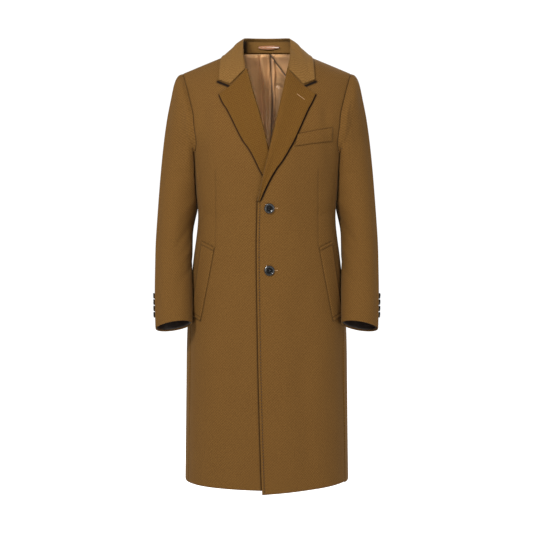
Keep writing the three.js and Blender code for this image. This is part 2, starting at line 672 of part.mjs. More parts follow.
// A lapel, lying on its front: rows from the gorge down to the break, columns from the roll to the edge
function lapel(side) {
  const shares = [0, 0.1, 0.3, 0.55, 0.8, 1];
  const rows = [0, 0.06, 0.14, 0.24, 0.34, 0.44, 0.54, 0.64, 0.74, 0.83, 0.92, 0.985];
  const spots = rows.map((down) => shares.map((share) => {
    const rollZ = lerp(LAPEL.rollZ, BREAK_Z, down);
    const edgeZ = lerp(LAPEL.pointZ, BREAK_Z + 1, down);
    const kink = Math.sin(Math.PI * share) * LAPEL.stepDrop * Math.max(1 - down / 0.2, 0);
    const rollX = read(ROLL_LINE, "z", side, rollZ) - 1.6 * (1 - down);
    const x = lerp(rollX, read(LAPEL_EDGE, "z", side, edgeZ), share);
    const z = lerp(rollZ, edgeZ, share) - kink;
    const covered = side === "right" ? smoothstep(-z, 210, 270) : 0;
    const rolled = LAPEL.rollLift * Math.exp(-(((share - 0.1) / 0.22) ** 2)) * (1 - covered);
    return [x, z, rolled];
  }));
  return laidOn(side, spots, LAPEL_CLOTH);
}

// A patch on the left front between four corners
function welt({ innerTop, outerTop, outerFoot, innerFoot }, columns, rows, side = "left") {
  const between = (a, b, t) => [lerp(a[0], b[0], t), lerp(a[1], b[1], t)];
  const spots = steps(rows).map((down) => steps(columns).map((share) => {
    return [...between(between(innerTop, outerTop, share), between(innerFoot, outerFoot, share), down), 0];
  }));
  return laidOn(side, spots, WELT_CLOTH);
}

// A strap on the inside of the neck band, held at its two ends
function hangerLoop() {
  const along = steps(8);
  const grid = (out) => [LOOP.foot, LOOP.top].map((z) => along.map((t) => {
    const x = LOOP.middle + LOOP.half * (2 * t - 1);
    const at = Math.abs(x) / 150;
    const seat = neckline(at);
    const roll = collarLine(at, "roll");
    const y = lerp(seat.y, roll.y, (z - seat.z) / (roll.z - seat.z)) - 2.9;
    return vec(x, y - LOOP.bow * Math.sin(Math.PI * t) - out, z);
  }));
  return { outer: grid(LOOP.thick), inner: grid(0) };
}

// Buttons
function solidOf(geometry) {
  const bare = geometry.index ? geometry.toNonIndexed() : geometry.clone();
  bare.deleteAttribute("normal");
  bare.deleteAttribute("uv");
  const merged = mergeVertices(bare, 1e-4);
  return new wasm.Manifold(new wasm.Mesh({
    numProp: 3,
    vertProperties: merged.attributes.position.array,
    triVerts: new Uint32Array(merged.index.array),
  }));
}

function geometryOf(solid) {
  const mesh = solid.getMesh();
  const geometry = new THREE.BufferGeometry();
  geometry.setAttribute("position", new THREE.BufferAttribute(new Float32Array(mesh.vertProperties), 3));
  geometry.setIndex(new THREE.BufferAttribute(new Uint32Array(mesh.triVerts), 1));
  return geometry;
}

// A dished button with a rim, its back at y = 0 and its face towards +y
function buttonBlank(radius, thick, sides) {
  const rim = radius * 0.22;
  const dish = thick * 0.66;
  const profile = [
    [0, 0], [radius * 0.86, 0], [radius, thick * 0.4],
    [radius - rim * 0.4, thick], [radius - rim, thick * 0.94], [radius - rim * 1.6, dish], [0, dish],
  ];
  return new THREE.LatheGeometry(profile.map(([r, y]) => new THREE.Vector2(r, y)), sides);
}

function holedButton(radius, thick, sides) {
  let solid = solidOf(buttonBlank(radius, thick, sides));
  const spread = radius * 0.21;
  for (const [x, z] of [[1, 1], [1, -1], [-1, 1], [-1, -1]]) {
    const hole = new THREE.CylinderGeometry(radius * 0.085, radius * 0.085, thick * 4, 6);
    solid = solid.subtract(solidOf(hole.translate(x * spread, 0, z * spread)));
  }
  return geometryOf(solid);
}

function seated(geometry, point, normal) {
  const mesh = new THREE.Mesh(geometry);
  mesh.quaternion.setFromUnitVectors(vec(0, 1, 0), normal);
  mesh.position.copy(moved(point, normal, LAID));
  return mesh;
}

function frontButton(z) {
  const { x, radius, thick } = FRONT_BUTTON;
  const point = onFront("left", x, z, 0);
  return seated(holedButton(radius, thick, 24), point, bodyNormal(placeAt(x, z), z));
}

function cuffButton(side, number) {
  const { radius, thick, lowestZ, step, turn } = CUFF_BUTTON;
  const z = lowestZ + step * number;
  const last = SLEEVE.length - 1;
  let section = last;
  while (sleeveSurface(turn, section).z < z) section -= 0.01;
  const round = sleeveSurface(turn + 4, section).sub(sleeveSurface(turn - 4, section));
  const down = sleeveSurface(turn, section + 0.2).sub(sleeveSurface(turn, section - 0.2));
  const normal = round.cross(down).normalize();
  const point = sleeveSurface(turn, section);
  const mirror = vec(side, 1, 1);
  return seated(buttonBlank(radius, thick, 12), point.multiply(mirror), normal.multiply(mirror));
}

// The coat
const finish = (color, roughness) => new THREE.MeshStandardMaterial({ color, roughness, metalness: 0 });
const wool = finish(0x7c5628, 0.95);
const woolTurned = finish(0x8a6236, 0.95);
const satin = finish(0x8c6a44, 0.45);
const cuffSatin = finish(0x2c2118, 0.6);
const horn = finish(0x17171a, 0.35);

const coat = new THREE.Group();

function add(name, made, material) {
  const mesh = made.isMesh ? made : new THREE.Mesh(wall(made));
  mesh.name = name;
  mesh.material = material;
  coat.add(mesh);
}

add("front_left", frontPanel("left"), wool);
add("front_right", mirrorSheet(frontPanel("right")), wool);
add("back_left", backSheet(true), wool);
add("back_right", mirrorSheet(backSheet(false)), wool);
add("sleeve_top_left", sleeveTop(), wool);
add("sleeve_top_right", mirrorSheet(sleeveTop()), wool);
add("sleeve_under_left", sleeveUnder(), wool);
add("sleeve_under_right", mirrorSheet(sleeveUnder()), wool);
add("cuff_lining_left", cuffLining(), cuffSatin);
add("cuff_lining_right", mirrorSheet(cuffLining()), cuffSatin);
add("collar_stand", collarStand(), wool);
add("collar_fall", collarFall(), woolTurned);
add("lapel_left", lapel("left"), woolTurned);
add("lapel_right", mirrorSheet(lapel("right")), woolTurned);
add("chest_welt", welt(CHEST_WELT, 6, 2), wool);
add("side_welt_left", welt(SIDE_WELT, 3, 6), wool);
add("side_welt_right", mirrorSheet(welt(SIDE_WELT, 3, 6, "right")), wool);
add("back_lining", backLining(), satin);
add("hanger_loop", hangerLoop(), satin);
add("button_upper", frontButton(FRONT_BUTTON.upperZ), horn);
add("button_lower", frontButton(FRONT_BUTTON.lowerZ), horn);
for (const [side, sign] of [["left", 1], ["right", -1]]) {
  for (let n = 0; n < CUFF_BUTTON.count; n += 1) {
    add(`cuff_button_${side}_${n + 1}`, cuffButton(sign, n), horn);
  }
}

export default coat;
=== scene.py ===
import math

import bmesh
import bpy
import numpy as np
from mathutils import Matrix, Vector


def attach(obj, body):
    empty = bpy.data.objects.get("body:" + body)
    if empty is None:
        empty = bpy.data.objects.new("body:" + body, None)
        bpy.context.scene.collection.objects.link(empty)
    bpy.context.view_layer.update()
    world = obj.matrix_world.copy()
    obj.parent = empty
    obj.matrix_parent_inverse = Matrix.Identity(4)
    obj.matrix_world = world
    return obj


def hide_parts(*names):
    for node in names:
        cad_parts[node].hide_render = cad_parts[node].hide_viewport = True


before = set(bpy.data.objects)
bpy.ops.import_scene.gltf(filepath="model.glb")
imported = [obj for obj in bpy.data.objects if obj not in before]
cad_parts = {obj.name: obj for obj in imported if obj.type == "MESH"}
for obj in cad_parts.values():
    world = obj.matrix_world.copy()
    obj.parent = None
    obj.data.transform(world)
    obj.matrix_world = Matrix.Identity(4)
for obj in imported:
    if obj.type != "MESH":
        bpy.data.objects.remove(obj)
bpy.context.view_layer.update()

# A wool overcoat, filled out and hollow. Lengths below are millimetres of the real coat, +Z up, the
# front faces -Y and the wearer's left is +X. Meshes are written in metres.
MM = 0.001


# Reading tables

def columns(names, rows):
    return dict(zip(names.split(), np.array(rows, dtype=float).T))


def read(table, key, column, place):
    """A column of a table along a smooth curve through its rows."""
    keys, values = table[key], table[column]
    place = np.asarray(place, dtype=float)
    turned = -1 if keys[-1] < keys[0] else 1
    i = np.clip(np.searchsorted(turned * keys, turned * place, side="right") - 1, 0, len(keys) - 2)
    numbers = np.arange(len(keys))
    before, after = np.maximum(numbers - 1, 0), np.minimum(numbers + 1, len(keys) - 1)
    slope = (values[after] - values[before]) / (keys[after] - keys[before])
    span = keys[i + 1] - keys[i]
    t = np.clip((place - keys[i]) / span, 0, 1)
    ends = values[i] * (2 * t**3 - 3 * t**2 + 1) + values[i + 1] * (3 * t**2 - 2 * t**3)
    return ends + span * (slope[i] * (t**3 - 2 * t**2 + t) + slope[i + 1] * (t**3 - t**2))


def smooth(value, low, high):
    t = np.clip((np.asarray(value, dtype=float) - low) / (high - low), 0, 1)
    return t * t * (3 - 2 * t)


def lerp(a, b, t):
    return a + (b - a) * t


def unit(v):
    return v / np.maximum(np.linalg.norm(v, axis=-1, keepdims=True), 1e-9)


def xyz(x, y, z):
    return np.stack(np.broadcast_arrays(*(np.asarray(v, dtype=float) for v in (x, y, z))), axis=-1)


# Cloth
WOOL = 3.0
LAPEL_CLOTH = 2.6
COLLAR_CLOTH = 3.2
STAND_CLOTH = 2.4
WELT_CLOTH = 2.2
LINING = 1.0
SEAM = 0.1
LAID = 0.5

# The body from the hem up
BODY = columns("z half_width front back", [
    (-1125, 211.5, 160, 160),
    (-1000, 210, 158, 158),
    (-860, 208.5, 154, 155),
    (-728, 206.5, 150, 150),
    (-630, 200, 144, 141),
    (-541, 190.5, 136, 125),
    (-437, 178.5, 129, 112),
    (-370, 183, 132, 114),
    (-262, 197, 140, 124),
    (-190, 228, 138, 129),
    (-60, 245, 130, 135),
    (40, 245, 128, 142),
])
ROUNDNESS = 2 / 2.3
NECK_HALF = 80
SHOULDER_SLOPE = 0.415
SHOULDER_SOFT = 30
SHOULDER_Y = 8
SIDE_SEAM = math.radians(70)

# The armhole: the turn from the shoulder forward, and the place round the body in degrees
ARMHOLE = columns("turn place", [
    (0, 61.5), (30, 58.8), (60, 54.1), (90, 51.5), (120, 57.8), (145, 66.1), (161, 70), (180, 84),
    (210, 101), (225, 111), (240, 118.4), (270, 122.4), (300, 122.8), (330, 120.4), (360, 118.5),
])
ARMHOLE_TOP = -56.3
ARMHOLE_BOTTOM = -266.0
ARMPIT_TURN = 161
HIND_SEAM = 22
FORE_SEAM = 212
TOP_ROW_TURN = 11  # the front's rows bend up to the shoulder line from here

FRONT_EDGE = columns("z left right", [
    (-1125, -11.6, -24), (-870, -19.4, -24), (-645, -23.5, -24), (-505, -25, -24), (-400, -22.6, -23),
])
ROLL_LINE = columns("z left right", [
    (-400, -22.6, -23), (-368, -14.4, -18), (-333, -7, -12), (-288, 4.2, -4.7), (-248, 13.5, 3.2),
    (-183, 29.5, 19.6), (-122, 43, 37.5), (-88, 49.5, 46), (-58, 55.5, 54),
])
NECKLINE = columns("z x", [(-58, 54.8), (-40, 61), (-20, 70), (0, 80)])
LAPEL_EDGE = columns("z left right", [
    (-402, -20, -20), (-374, -8.5, -9), (-341, 7.2, 4), (-317, 21, 17), (-293, 38.1, 28.5),
    (-268, 52.8, 42), (-243, 66.7, 59.5), (-166, 101.5, 97.6), (-150, 110, 108), (-125, 121.5, 119),
])
BREAK_Z = -400
GORGE_Z = -58
NECK_BACK_Z = 9
HEM = {"left": (-1121, -1105), "right": (-1112, -1107), "back": (-1106, -1107)}
VENT_TOP, VENT_UNDERLAP, VENT_FULL, VENT_FADE, VENT_LIFT = -700, 36, 52, 110, 4.6
LAP = columns("z lift", [
    (-1125, 3.9), (-450, 3.9), (-395, 7.4), (-280, 7.4), (-190, 3), (-90, 0), (0, 0),
])
LAP_FULL, LAP_END = 30, 115

SLEEVE = columns("section outer_x outer_z inner_x inner_z middle_y half_depth lift", [
    (0, 219, -56.3, 197, -266, -8, 84, 0),
    (1, 231, -63.5, 198, -271, -7, 84, 0),
    (2, 240.5, -83.5, 189, -282, -4, 82, 0),
    (3, 249.6, -125, 178, -300, 2, 79, 0),
    (4, 260, -177, 172, -325, 7, 75, 0),
    (5, 269, -240, 171, -358, 10, 70, 0),
    (6, 277, -322, 178, -400, 8, 66, 0),
    (7, 284, -425, 190.5, -460, -1, 63, 0),
    (8, 287.5, -500, 192, -510, -14, 60, 3),
    (9, 287, -560, 190.5, -560, -35, 57, 7),
    (10, 285.5, -618, 189, -610, -60, 53, 11),
    (11, 283, -670, 188, -658, -80, 49, 13),
    (12, 280.5, -716, 187.5, -700, -96, 46, 14),
])
CUFF = 12
SLEEVE_AXIS, SLEEVE_WIDE, SLEEVE_DEEP = 230, 50, 66  # a round through its middle, for the flat cloth
SLEEVE_GAP, GAP_FROM, GAP_FULL = 3.4, 262, 276  # off the body's side, below the armhole
SLEEVE_HEAD = 4
FIRST_SECTION = 0.5
CUFF_LINING_DEPTH = 2

# The collar from the centre back, at 0, to the gorge, at 1
COLLAR = {
    "roll": columns("at x y z", [
        (0, 0, 76, 49), (0.25, 35, 68, 48), (0.45, 55, 42, 43.5), (0.6, 62, 10, 35), (0.72, 62.5, -16, 17),
        (0.86, 59, -55, -24), (1, 54.5, -94, -58),
    ]),
    "middle": columns("at x y z", [
        (0, 0, 91, 14), (0.25, 43, 83, 13), (0.45, 71, 54, 13), (0.6, 85, 15, 13), (0.72, 87, -21, 5),
        (0.86, 91, -62, -34), (1, 92, -102, -99),
    ]),
    "leaf": columns("at x y z", [
        (0, 0, 98, -20), (0.25, 49, 91, -19), (0.45, 90, 62, -16), (0.6, 109, 18, -11),
        (0.72, 116.5, -22, -18), (0.86, 118.5, -60, -48), (1, 121, -88, -86),
    ]),
}
STAND_FOOT = columns("at x", [
    (0, 0), (0.25, 38), (0.45, 64), (0.6, 80), (0.72, 78), (0.86, 69), (1, 55),
])
STAND_END = 0.74
STAND_DROP = 9
STAND_FOOT_GAP = 1.3
STAND_INSIDE = 2.6
NECK_MIDDLE_Y = 20
ROLL_BULGE = 3.4
LEAF_SPLIT = 0.6

CHEST_WELT = [(76.5, -229), (165, -209), (164, -242), (69.5, -258.5)]
SIDE_WELT = [(131.5, -511), (163, -495), (189, -683), (166, -694)]
BUTTON_X, BUTTON_HEIGHTS, BUTTON_RADIUS, BUTTON_THICK = 6.3, (-413.5, -569), 12.6, 4.0
CUFF_BUTTON_RADIUS, CUFF_BUTTON_THICK, CUFF_BUTTON_TURN = 7.4, 3.4, 357
CUFF_BUTTON_HEIGHTS = (-680, -664.2, -648.4, -632.6)
LOOP_MIDDLE, LOOP_HALF, LOOP_TOP, LOOP_FOOT, LOOP_THICK, LOOP_BOW = 6, 28, 29, 18.5, 1.6, 2.2
LINING_HEM = 26
LINING_FOLDS = [(-46, 16, 4), (-22, 13, 6), (-2, 11, 3), (14, 9, 6), (44, 18, 5)]

# Creases in the cloth: ends across and up, width to the side, and height: troughs are below 0.
# On a front and a back the first measure is x and the second z.
FRONT_CREASES = [
    (150, -150, 158, -300, 14, -2.6),
    (128, -120, 140, -240, 22, 1.4),
    (170, -300, 120, -380, 20, -1.5),
    (60, -420, 150, -470, 16, -1.1),
    (30, -430, 95, -500, 14, 1.0),
    (110, -560, 70, -760, 26, -1.6),
    (150, -700, 140, -1090, 30, 2.2),
    (96, -760, 92, -1090, 24, -2.0),
    (48, -640, 40, -1000, 22, 1.2),
    (190, -720, 196, -1080, 18, -2.0),
    (20, -150, 70, -330, 24, 1.0),
    (180, -410, 120, -440, 10, -1.2),
]
BACK_CREASES = [
    (120, -90, 30, -130, 22, -1.4),
    (150, -160, 158, -300, 16, -2.8),
    (118, -150, 122, -330, 24, 1.8),
    (20, -250, 120, -300, 18, -1.2),
    (140, -380, 20, -430, 18, -1.8),
    (150, -430, 40, -480, 14, -1.2),
    (60, -520, 76, -900, 26, 2.2),
    (110, -600, 120, -1080, 26, -2.4),
    (150, -640, 165, -1080, 22, 2.0),
    (28, -560, 34, -690, 14, -1.2),
]
# On a sleeve the first measure is the turn and the second the section.
SLEEVE_CREASES = [
    (70, 1.2, 78, 4.6, 16, -2.0),
    (110, 1.6, 116, 5.0, 14, 1.6),
    (140, 4.4, 60, 6.2, 10, -1.8),
    (165, 5.6, 80, 7.4, 11, 1.8),
    (172, 6.5, 95, 8.1, 10, -2.4),
    (175, 7.6, 110, 8.9, 10, 2.0),
    (180, 8.4, 120, 9.8, 10, -1.8),
    (50, 8.2, 66, 11.6, 16, 1.0),
    (110, 9.6, 104, 11.8, 14, -1.2),
    (300, 1.4, 292, 4.6, 18, -2.4),
    (250, 2.2, 246, 5.6, 16, 1.6),
    (230, 5.4, 330, 6.4, 11, 2.0),
    (225, 6.6, 335, 7.6, 11, -2.2),
    (228, 7.8, 330, 8.6, 11, 1.8),
    (280, 9.0, 272, 11.6, 16, -1.2),
]
SLEEVE_TURN_SCALE = 1.15  # millimetres for each degree of turn, for a crease's width
SLEEVE_SECTION_SCALE = 55
DART = [(130, -318), (130, -510)]
DART_WIDTH, DART_DEPTH = 2.6, 0.9


# The body's surface

def shoulder_height(x):
    return -SHOULDER_SLOPE * (np.hypot(x, SHOULDER_SOFT) - math.hypot(NECK_HALF, SHOULDER_SOFT))


def arch(drop, height, power):
    return (1 - (1 - np.clip(drop / height, 0, 1)) ** power) ** (1 / power)


def body_point(place, z):
    place, z = np.broadcast_arrays(np.asarray(place, dtype=float), np.asarray(z, dtype=float))
    across, along = np.sin(place), np.cos(place)
    behind = along < 0
    x = read(BODY, "z", "half_width", z) * np.sign(across) * np.abs(across) ** ROUNDNESS
    depth = np.where(behind, read(BODY, "z", "back", z), -read(BODY, "z", "front", z))
    drop = shoulder_height(x) - z
    opened = np.where(behind, arch(drop, 180, 2.4), arch(drop, 230, 2))
    seam = SHOULDER_Y + np.where(behind, SEAM, -SEAM)
    return xyz(x, seam + (depth * np.abs(along) ** ROUNDNESS - seam) * opened, z)


def body_normal(place, z):
    place, z = np.broadcast_arrays(np.asarray(place, dtype=float), np.asarray(z, dtype=float))
    x = body_point(place, z)[..., 0]
    turn, rise = 0.012, 0.7
    around = body_point(place + turn, z) - body_point(place - turn, z)
    up = body_point(place, z + rise) - body_point(place, z - rise)
    normal = unit(np.cross(around, up))
    on_top = unit(xyz(SHOULDER_SLOPE * x / np.hypot(x, SHOULDER_SOFT), 0, 1))
    at_top = (shoulder_height(x) - z) < 1.5
    return np.where(at_top[..., None], on_top, normal)


PLACES = np.linspace(0, np.pi, 721)
WAIST = -400.0
ARCS = np.cumsum(np.r_[0, np.linalg.norm(np.diff(body_point(PLACES, WAIST), axis=0), axis=1)])


def around(place, z):
    """The way round the body from the centre front to a place, in millimetres."""
    wider = read(BODY, "z", "half_width", z) / read(BODY, "z", "half_width", WAIST)
    return np.sign(place) * np.interp(np.abs(place), PLACES, ARCS) * wider


def place_at(x, z, behind=False):
    share = np.clip(np.abs(x) / read(BODY, "z", "half_width", z), 0, 1)
    place = np.sign(x) * np.arcsin(share ** (1 / ROUNDNESS))
    return math.pi - place if behind else place


def armhole_z(turn):
    ahead = turn < ARMPIT_TURN
    share = np.where(ahead, turn / ARMPIT_TURN, (360 - turn) / (360 - ARMPIT_TURN))
    return lerp(ARMHOLE_BOTTOM, ARMHOLE_TOP, (1 + np.cos(np.pi * share)) / 2)


def armhole_place(turn):
    return np.radians(read(ARMHOLE, "turn", "place", turn))


def creases(rows, across, up, scale=(1, 1)):
    """The height of soft uneven ridges and troughs, each along a line and faded at its ends."""
    total = np.zeros(np.broadcast(across, up).shape)
    for number, (a0, b0, a1, b1, width, height) in enumerate(rows):
        start = np.array([a0 * scale[0], b0 * scale[1]])
        line = np.array([a1 * scale[0], b1 * scale[1]]) - start
        length = np.hypot(*line)
        p, q = across * scale[0] - start[0], up * scale[1] - start[1]
        along = (p * line[0] + q * line[1]) / length**2
        aside = (p * line[1] - q * line[0]) / length
        sway = 0.35 * width * np.sin(along * 4.1 + number)
        ends = smooth(along, -0.18, 0.22) * (1 - smooth(along, 0.72, 1.2))
        uneven = 1 + 0.3 * np.sin(along * 7.3 + 2 * number)
        total = total + height * uneven * ends * np.exp(-(((aside - sway) / width) ** 2))
    return total


def along_line(x, z, start, end, width):
    """1 on the line between two places, fading over the width to the side."""
    (ax, az), (bx, bz) = start, end
    length = math.hypot(bx - ax, bz - az)
    t = np.clip(((x - ax) * (bx - ax) + (z - az) * (bz - az)) / length**2, 0, 1)
    aside = np.hypot(x - ax - t * (bx - ax), z - az - t * (bz - az))
    return np.exp(-((aside / width) ** 2))


def lap_lift(side, x, z):
    if side != "left":
        return np.zeros(np.shape(x))
    return read(LAP, "z", "lift", z) * (1 - smooth(x, LAP_FULL, LAP_END))


def front_point(side, x, z, out=0.0):
    place = place_at(x, z)
    lift = lap_lift(side, x, z) + out
    return body_point(place, z) + body_normal(place, z) * np.asarray(lift)[..., None]


def inner_edge(side, z):
    low = read(FRONT_EDGE, "z", side, z)
    middle = read(ROLL_LINE, "z", side, z)
    return np.where(z <= BREAK_Z, low, np.where(z <= GORGE_Z, middle, read(NECKLINE, "z", "x", z)))


# Meshes

def edged(count, near):
    """Shares from 0 to 1 with extra ones close to both ends."""
    middle = np.linspace(near[-1], 1 - near[-1], count)
    return np.concatenate([near[:-1], middle, 1 - np.array(near[:-1])[::-1]])


def border_distances(grid, closed=False):
    """How far each point of a grid lies from its first column, last column, first row and last row."""
    across = np.linalg.norm(np.diff(grid, axis=1), axis=2)
    up = np.linalg.norm(np.diff(grid, axis=0), axis=2)
    first_column = np.pad(np.cumsum(across, axis=1), ((0, 0), (1, 0)))
    first_row = np.pad(np.cumsum(up, axis=0), ((1, 0), (0, 0)))
    far = np.full(grid.shape[:2], 1e6)
    sides = [far, far] if closed else [first_column, first_column[:, -1:] - first_column]
    return sides + [first_row, first_row[-1:] - first_row]


def grid_normals(grid, closed=False):
    if closed:
        wide = np.concatenate([grid[:, -1:], grid, grid[:, :1]], axis=1)
        across = wide[:, 2:] - wide[:, :-2]
    else:
        across = np.gradient(grid, axis=1)
    return unit(np.cross(across, np.gradient(grid, axis=0)))


def shell(name, outer, inner, places, material, painted_seam_shade=None, closed=False, painted_shade=None, rounded=0.32):
    """A cloth wall between two grids, thinned to a rounded edge. places are its flat coordinates in
    millimetres; the seam depths and the shade mask are painted shade in seams, under edges and in folds."""
    rows, count = outer.shape[:2]
    distances = border_distances(outer, closed)
    thick = outer - inner
    nearest = np.minimum.reduce(distances)
    turned = rounded * np.exp(-((nearest / 1.6) ** 2))[..., None]
    outer, inner = outer - thick * turned, inner + thick * turned
    # Painted shade: the colour darkens close to each sewn border.
    seam = np.zeros((rows, count))
    for border, distance in zip(("first", "last", "bottom", "top"), distances):
        if painted_seam_shade and border in painted_seam_shade:
            seam = np.maximum(seam, painted_seam_shade[border] * np.exp(-((distance / 2.2) ** 2)))
    painted_shade = np.zeros((rows, count)) if painted_shade is None else np.broadcast_to(painted_shade, (rows, count))
    points = np.concatenate([outer.reshape(-1, 3), inner.reshape(-1, 3)]) * MM

    def at(layer, i, j):
        return (layer * rows + i) * count + j % count

    last = count if closed else count - 1
    i, j = (a.ravel() for a in np.meshgrid(np.arange(rows - 1), np.arange(last), indexing="ij"))
    k, m = np.arange(last), np.arange(rows - 1)
    faces = [
        (at(0, i, j), at(0, i, j + 1), at(0, i + 1, j + 1), at(0, i + 1, j)),
        (at(1, i, j), at(1, i + 1, j), at(1, i + 1, j + 1), at(1, i, j + 1)),
        (at(0, 0, k), at(1, 0, k), at(1, 0, k + 1), at(0, 0, k + 1)),
        (at(0, rows - 1, k), at(0, rows - 1, k + 1), at(1, rows - 1, k + 1), at(1, rows - 1, k)),
    ]
    if not closed:
        faces.append((at(0, m, 0), at(0, m + 1, 0), at(1, m + 1, 0), at(1, m, 0)))
        faces.append((at(0, m, last), at(1, m, last), at(1, m + 1, last), at(0, m + 1, last)))
    quads = np.concatenate([np.stack(face, axis=1) for face in faces])
    corners = points[quads]
    diagonals = np.cross(corners[:, 2] - corners[:, 0], corners[:, 3] - corners[:, 1])
    if (corners.mean(axis=1) * diagonals).sum() < 0:
        quads = quads[:, ::-1]
    made = mesh_object(name, points, quads, material)
    flat = np.concatenate([places.reshape(-1, 2)] * 2) * MM
    layer = made.data.uv_layers.new(name="cloth")
    layer.data.foreach_set("uv", flat[quads.ravel()].ravel())
    # Both attributes are painted shade, mixed into the colour by the seam_shade group.
    for attribute, values in (("seam", seam), ("shade_mask", painted_shade)):
        stored = made.data.attributes.new(attribute, "FLOAT", "POINT")
        stored.data.foreach_set("value", np.concatenate([values.ravel()] * 2))
    return made


def mesh_object(name, points, faces, material, smooth_faces=True):
    mesh = bpy.data.meshes.new(name)
    mesh.from_pydata(np.asarray(points).tolist(), [], [list(map(int, face)) for face in faces])
    mesh.polygons.foreach_set("use_smooth", [smooth_faces] * len(mesh.polygons))
    mesh.materials.append(material)
    mesh.update()
    made = bpy.data.objects.new(name, mesh)
    bpy.context.scene.collection.objects.link(made)
    return made


def mirrored(points):
    return points * np.array([-1, 1, 1])


def tube(name, path, radius, material, sides=8, ends=0.4):
    """A thread or cord along a path of points in millimetres, with tapered ends. radius is one number, or
    one for each point."""
    path = np.asarray(path, dtype=float)
    ahead = unit(np.gradient(path, axis=0))
    aside = unit(np.cross(ahead, (0.31, 0.17, 0.93)))
    over = np.cross(ahead, aside)
    turns = np.linspace(0, 2 * np.pi, sides, endpoint=False)
    sizes = np.broadcast_to(radius, len(path)).astype(float)
    sizes[[0, -1]] *= ends
    ring = aside[:, None] * np.cos(turns)[:, None] + over[:, None] * np.sin(turns)[:, None]
    points = (path[:, None] + ring * sizes[:, None, None]).reshape(-1, 3)
    faces = []
    for i in range(len(path) - 1):
        for j in range(sides):
            k = (j + 1) % sides
            faces.append((i * sides + j, i * sides + k, (i + 1) * sides + k, (i + 1) * sides + j))
    faces.append(tuple(range(sides))[::-1])
    faces.append(tuple((len(path) - 1) * sides + j for j in range(sides)))
    return mesh_object(name, points * MM, faces, material)


def joined(name, parts):
    """Several small meshes as one piece."""
    first = parts[0]
    with bpy.context.temp_override(active_object=first, selected_editable_objects=parts):
        bpy.ops.object.join()
    first.name = name
    first.data.name = name
    return first


# Shader groups and materials

def linear(*colour):
    return tuple(((c / 255 + 0.055) / 1.055) ** 2.4 if c > 10 else c / 255 / 12.92 for c in colour)


def new_group(name, inputs, outputs):
    group = bpy.data.node_groups.new(name, "ShaderNodeTree")
    for socket, kind, value in inputs:
        made = group.interface.new_socket(socket, in_out="INPUT", socket_type=kind)
        if value is not None:
            made.default_value = value
    for socket, kind in outputs:
        group.interface.new_socket(socket, in_out="OUTPUT", socket_type=kind)
    return group, group.nodes.new("NodeGroupInput"), group.nodes.new("NodeGroupOutput")


def math_node(tree, operation, first, second=None, clamp=False):
    node = tree.nodes.new("ShaderNodeMath")
    node.operation = operation
    node.use_clamp = clamp
    for socket, value in zip(node.inputs, (first, second)):
        if value is None:
            continue
        if isinstance(value, (int, float)):
            socket.default_value = value
        else:
            tree.links.new(value, socket)
    return node.outputs[0]


def noise(tree, vector, scale, detail=2.0, rough=0.5):
    node = tree.nodes.new("ShaderNodeTexNoise")
    node.inputs["Scale"].default_value = scale
    node.inputs["Detail"].default_value = detail
    node.inputs["Roughness"].default_value = rough
    tree.links.new(vector, node.inputs["Vector"])
    return node.outputs["Fac"]


def mix_colour(tree, share, first, second, blend="MIX"):
    node = tree.nodes.new("ShaderNodeMix")
    node.data_type = "RGBA"
    node.blend_type = blend
    for socket, value in ((node.inputs[0], share), (node.inputs[6], first), (node.inputs[7], second)):
        if isinstance(value, (int, float)):
            socket.default_value = value
        elif isinstance(value, tuple):
            socket.default_value = (*value, 1)
        else:
            tree.links.new(value, socket)
    return node.outputs[2]


def twill_group():
    """Diagonal wales with a short nap: a height, and a mask that is light on the wales."""
    group, entry, leave = new_group(
        "twill_and_nap",
        [
            ("Flat", "NodeSocketVector", None),
            ("Wale", "NodeSocketFloat", 300.0),
            ("Nap", "NodeSocketFloat", 900.0),
        ],
        [("Height", "NodeSocketFloat"), ("Light", "NodeSocketFloat"), ("Cloud", "NodeSocketFloat")],
    )
    parts = group.nodes.new("ShaderNodeSeparateXYZ")
    group.links.new(entry.outputs["Flat"], parts.inputs[0])
    waver = math_node(group, "MULTIPLY", noise(group, entry.outputs["Flat"], 90, 2), 0.7)

    def wales(operation):
        diagonal = math_node(group, operation, parts.outputs[0], parts.outputs[1])
        phase = math_node(group, "MULTIPLY", diagonal, entry.outputs["Wale"])
        phase = math_node(group, "ADD", phase, waver)
        return math_node(group, "SINE", math_node(group, "MULTIPLY", phase, 2 * math.pi))

    wale = math_node(group, "ADD", wales("SUBTRACT"), math_node(group, "MULTIPLY", wales("ADD"), 0.6))
    node = group.nodes.new("ShaderNodeTexNoise")
    node.inputs["Detail"].default_value = 3
    group.links.new(entry.outputs["Nap"], node.inputs["Scale"])
    group.links.new(entry.outputs["Flat"], node.inputs["Vector"])
    grain = noise(group, entry.outputs["Flat"], 300, 2)
    nap = math_node(group, "ADD", math_node(group, "MULTIPLY", node.outputs["Fac"], 0.5),
                    math_node(group, "MULTIPLY", grain, 0.5))
    height = math_node(group, "ADD", math_node(group, "MULTIPLY", wale, 0.2), nap)
    light = math_node(group, "ADD", math_node(group, "MULTIPLY", wale, 0.085), nap)
    group.links.new(height, leave.inputs["Height"])
    group.links.new(light, leave.inputs["Light"])
    group.links.new(noise(group, entry.outputs["Flat"], 14, 3), leave.inputs["Cloud"])
    return group


# The near-black that painted shade and shadow mix into the cloth's colour.
SEAM_SHADE = (0.006, 0.003, 0.0012)


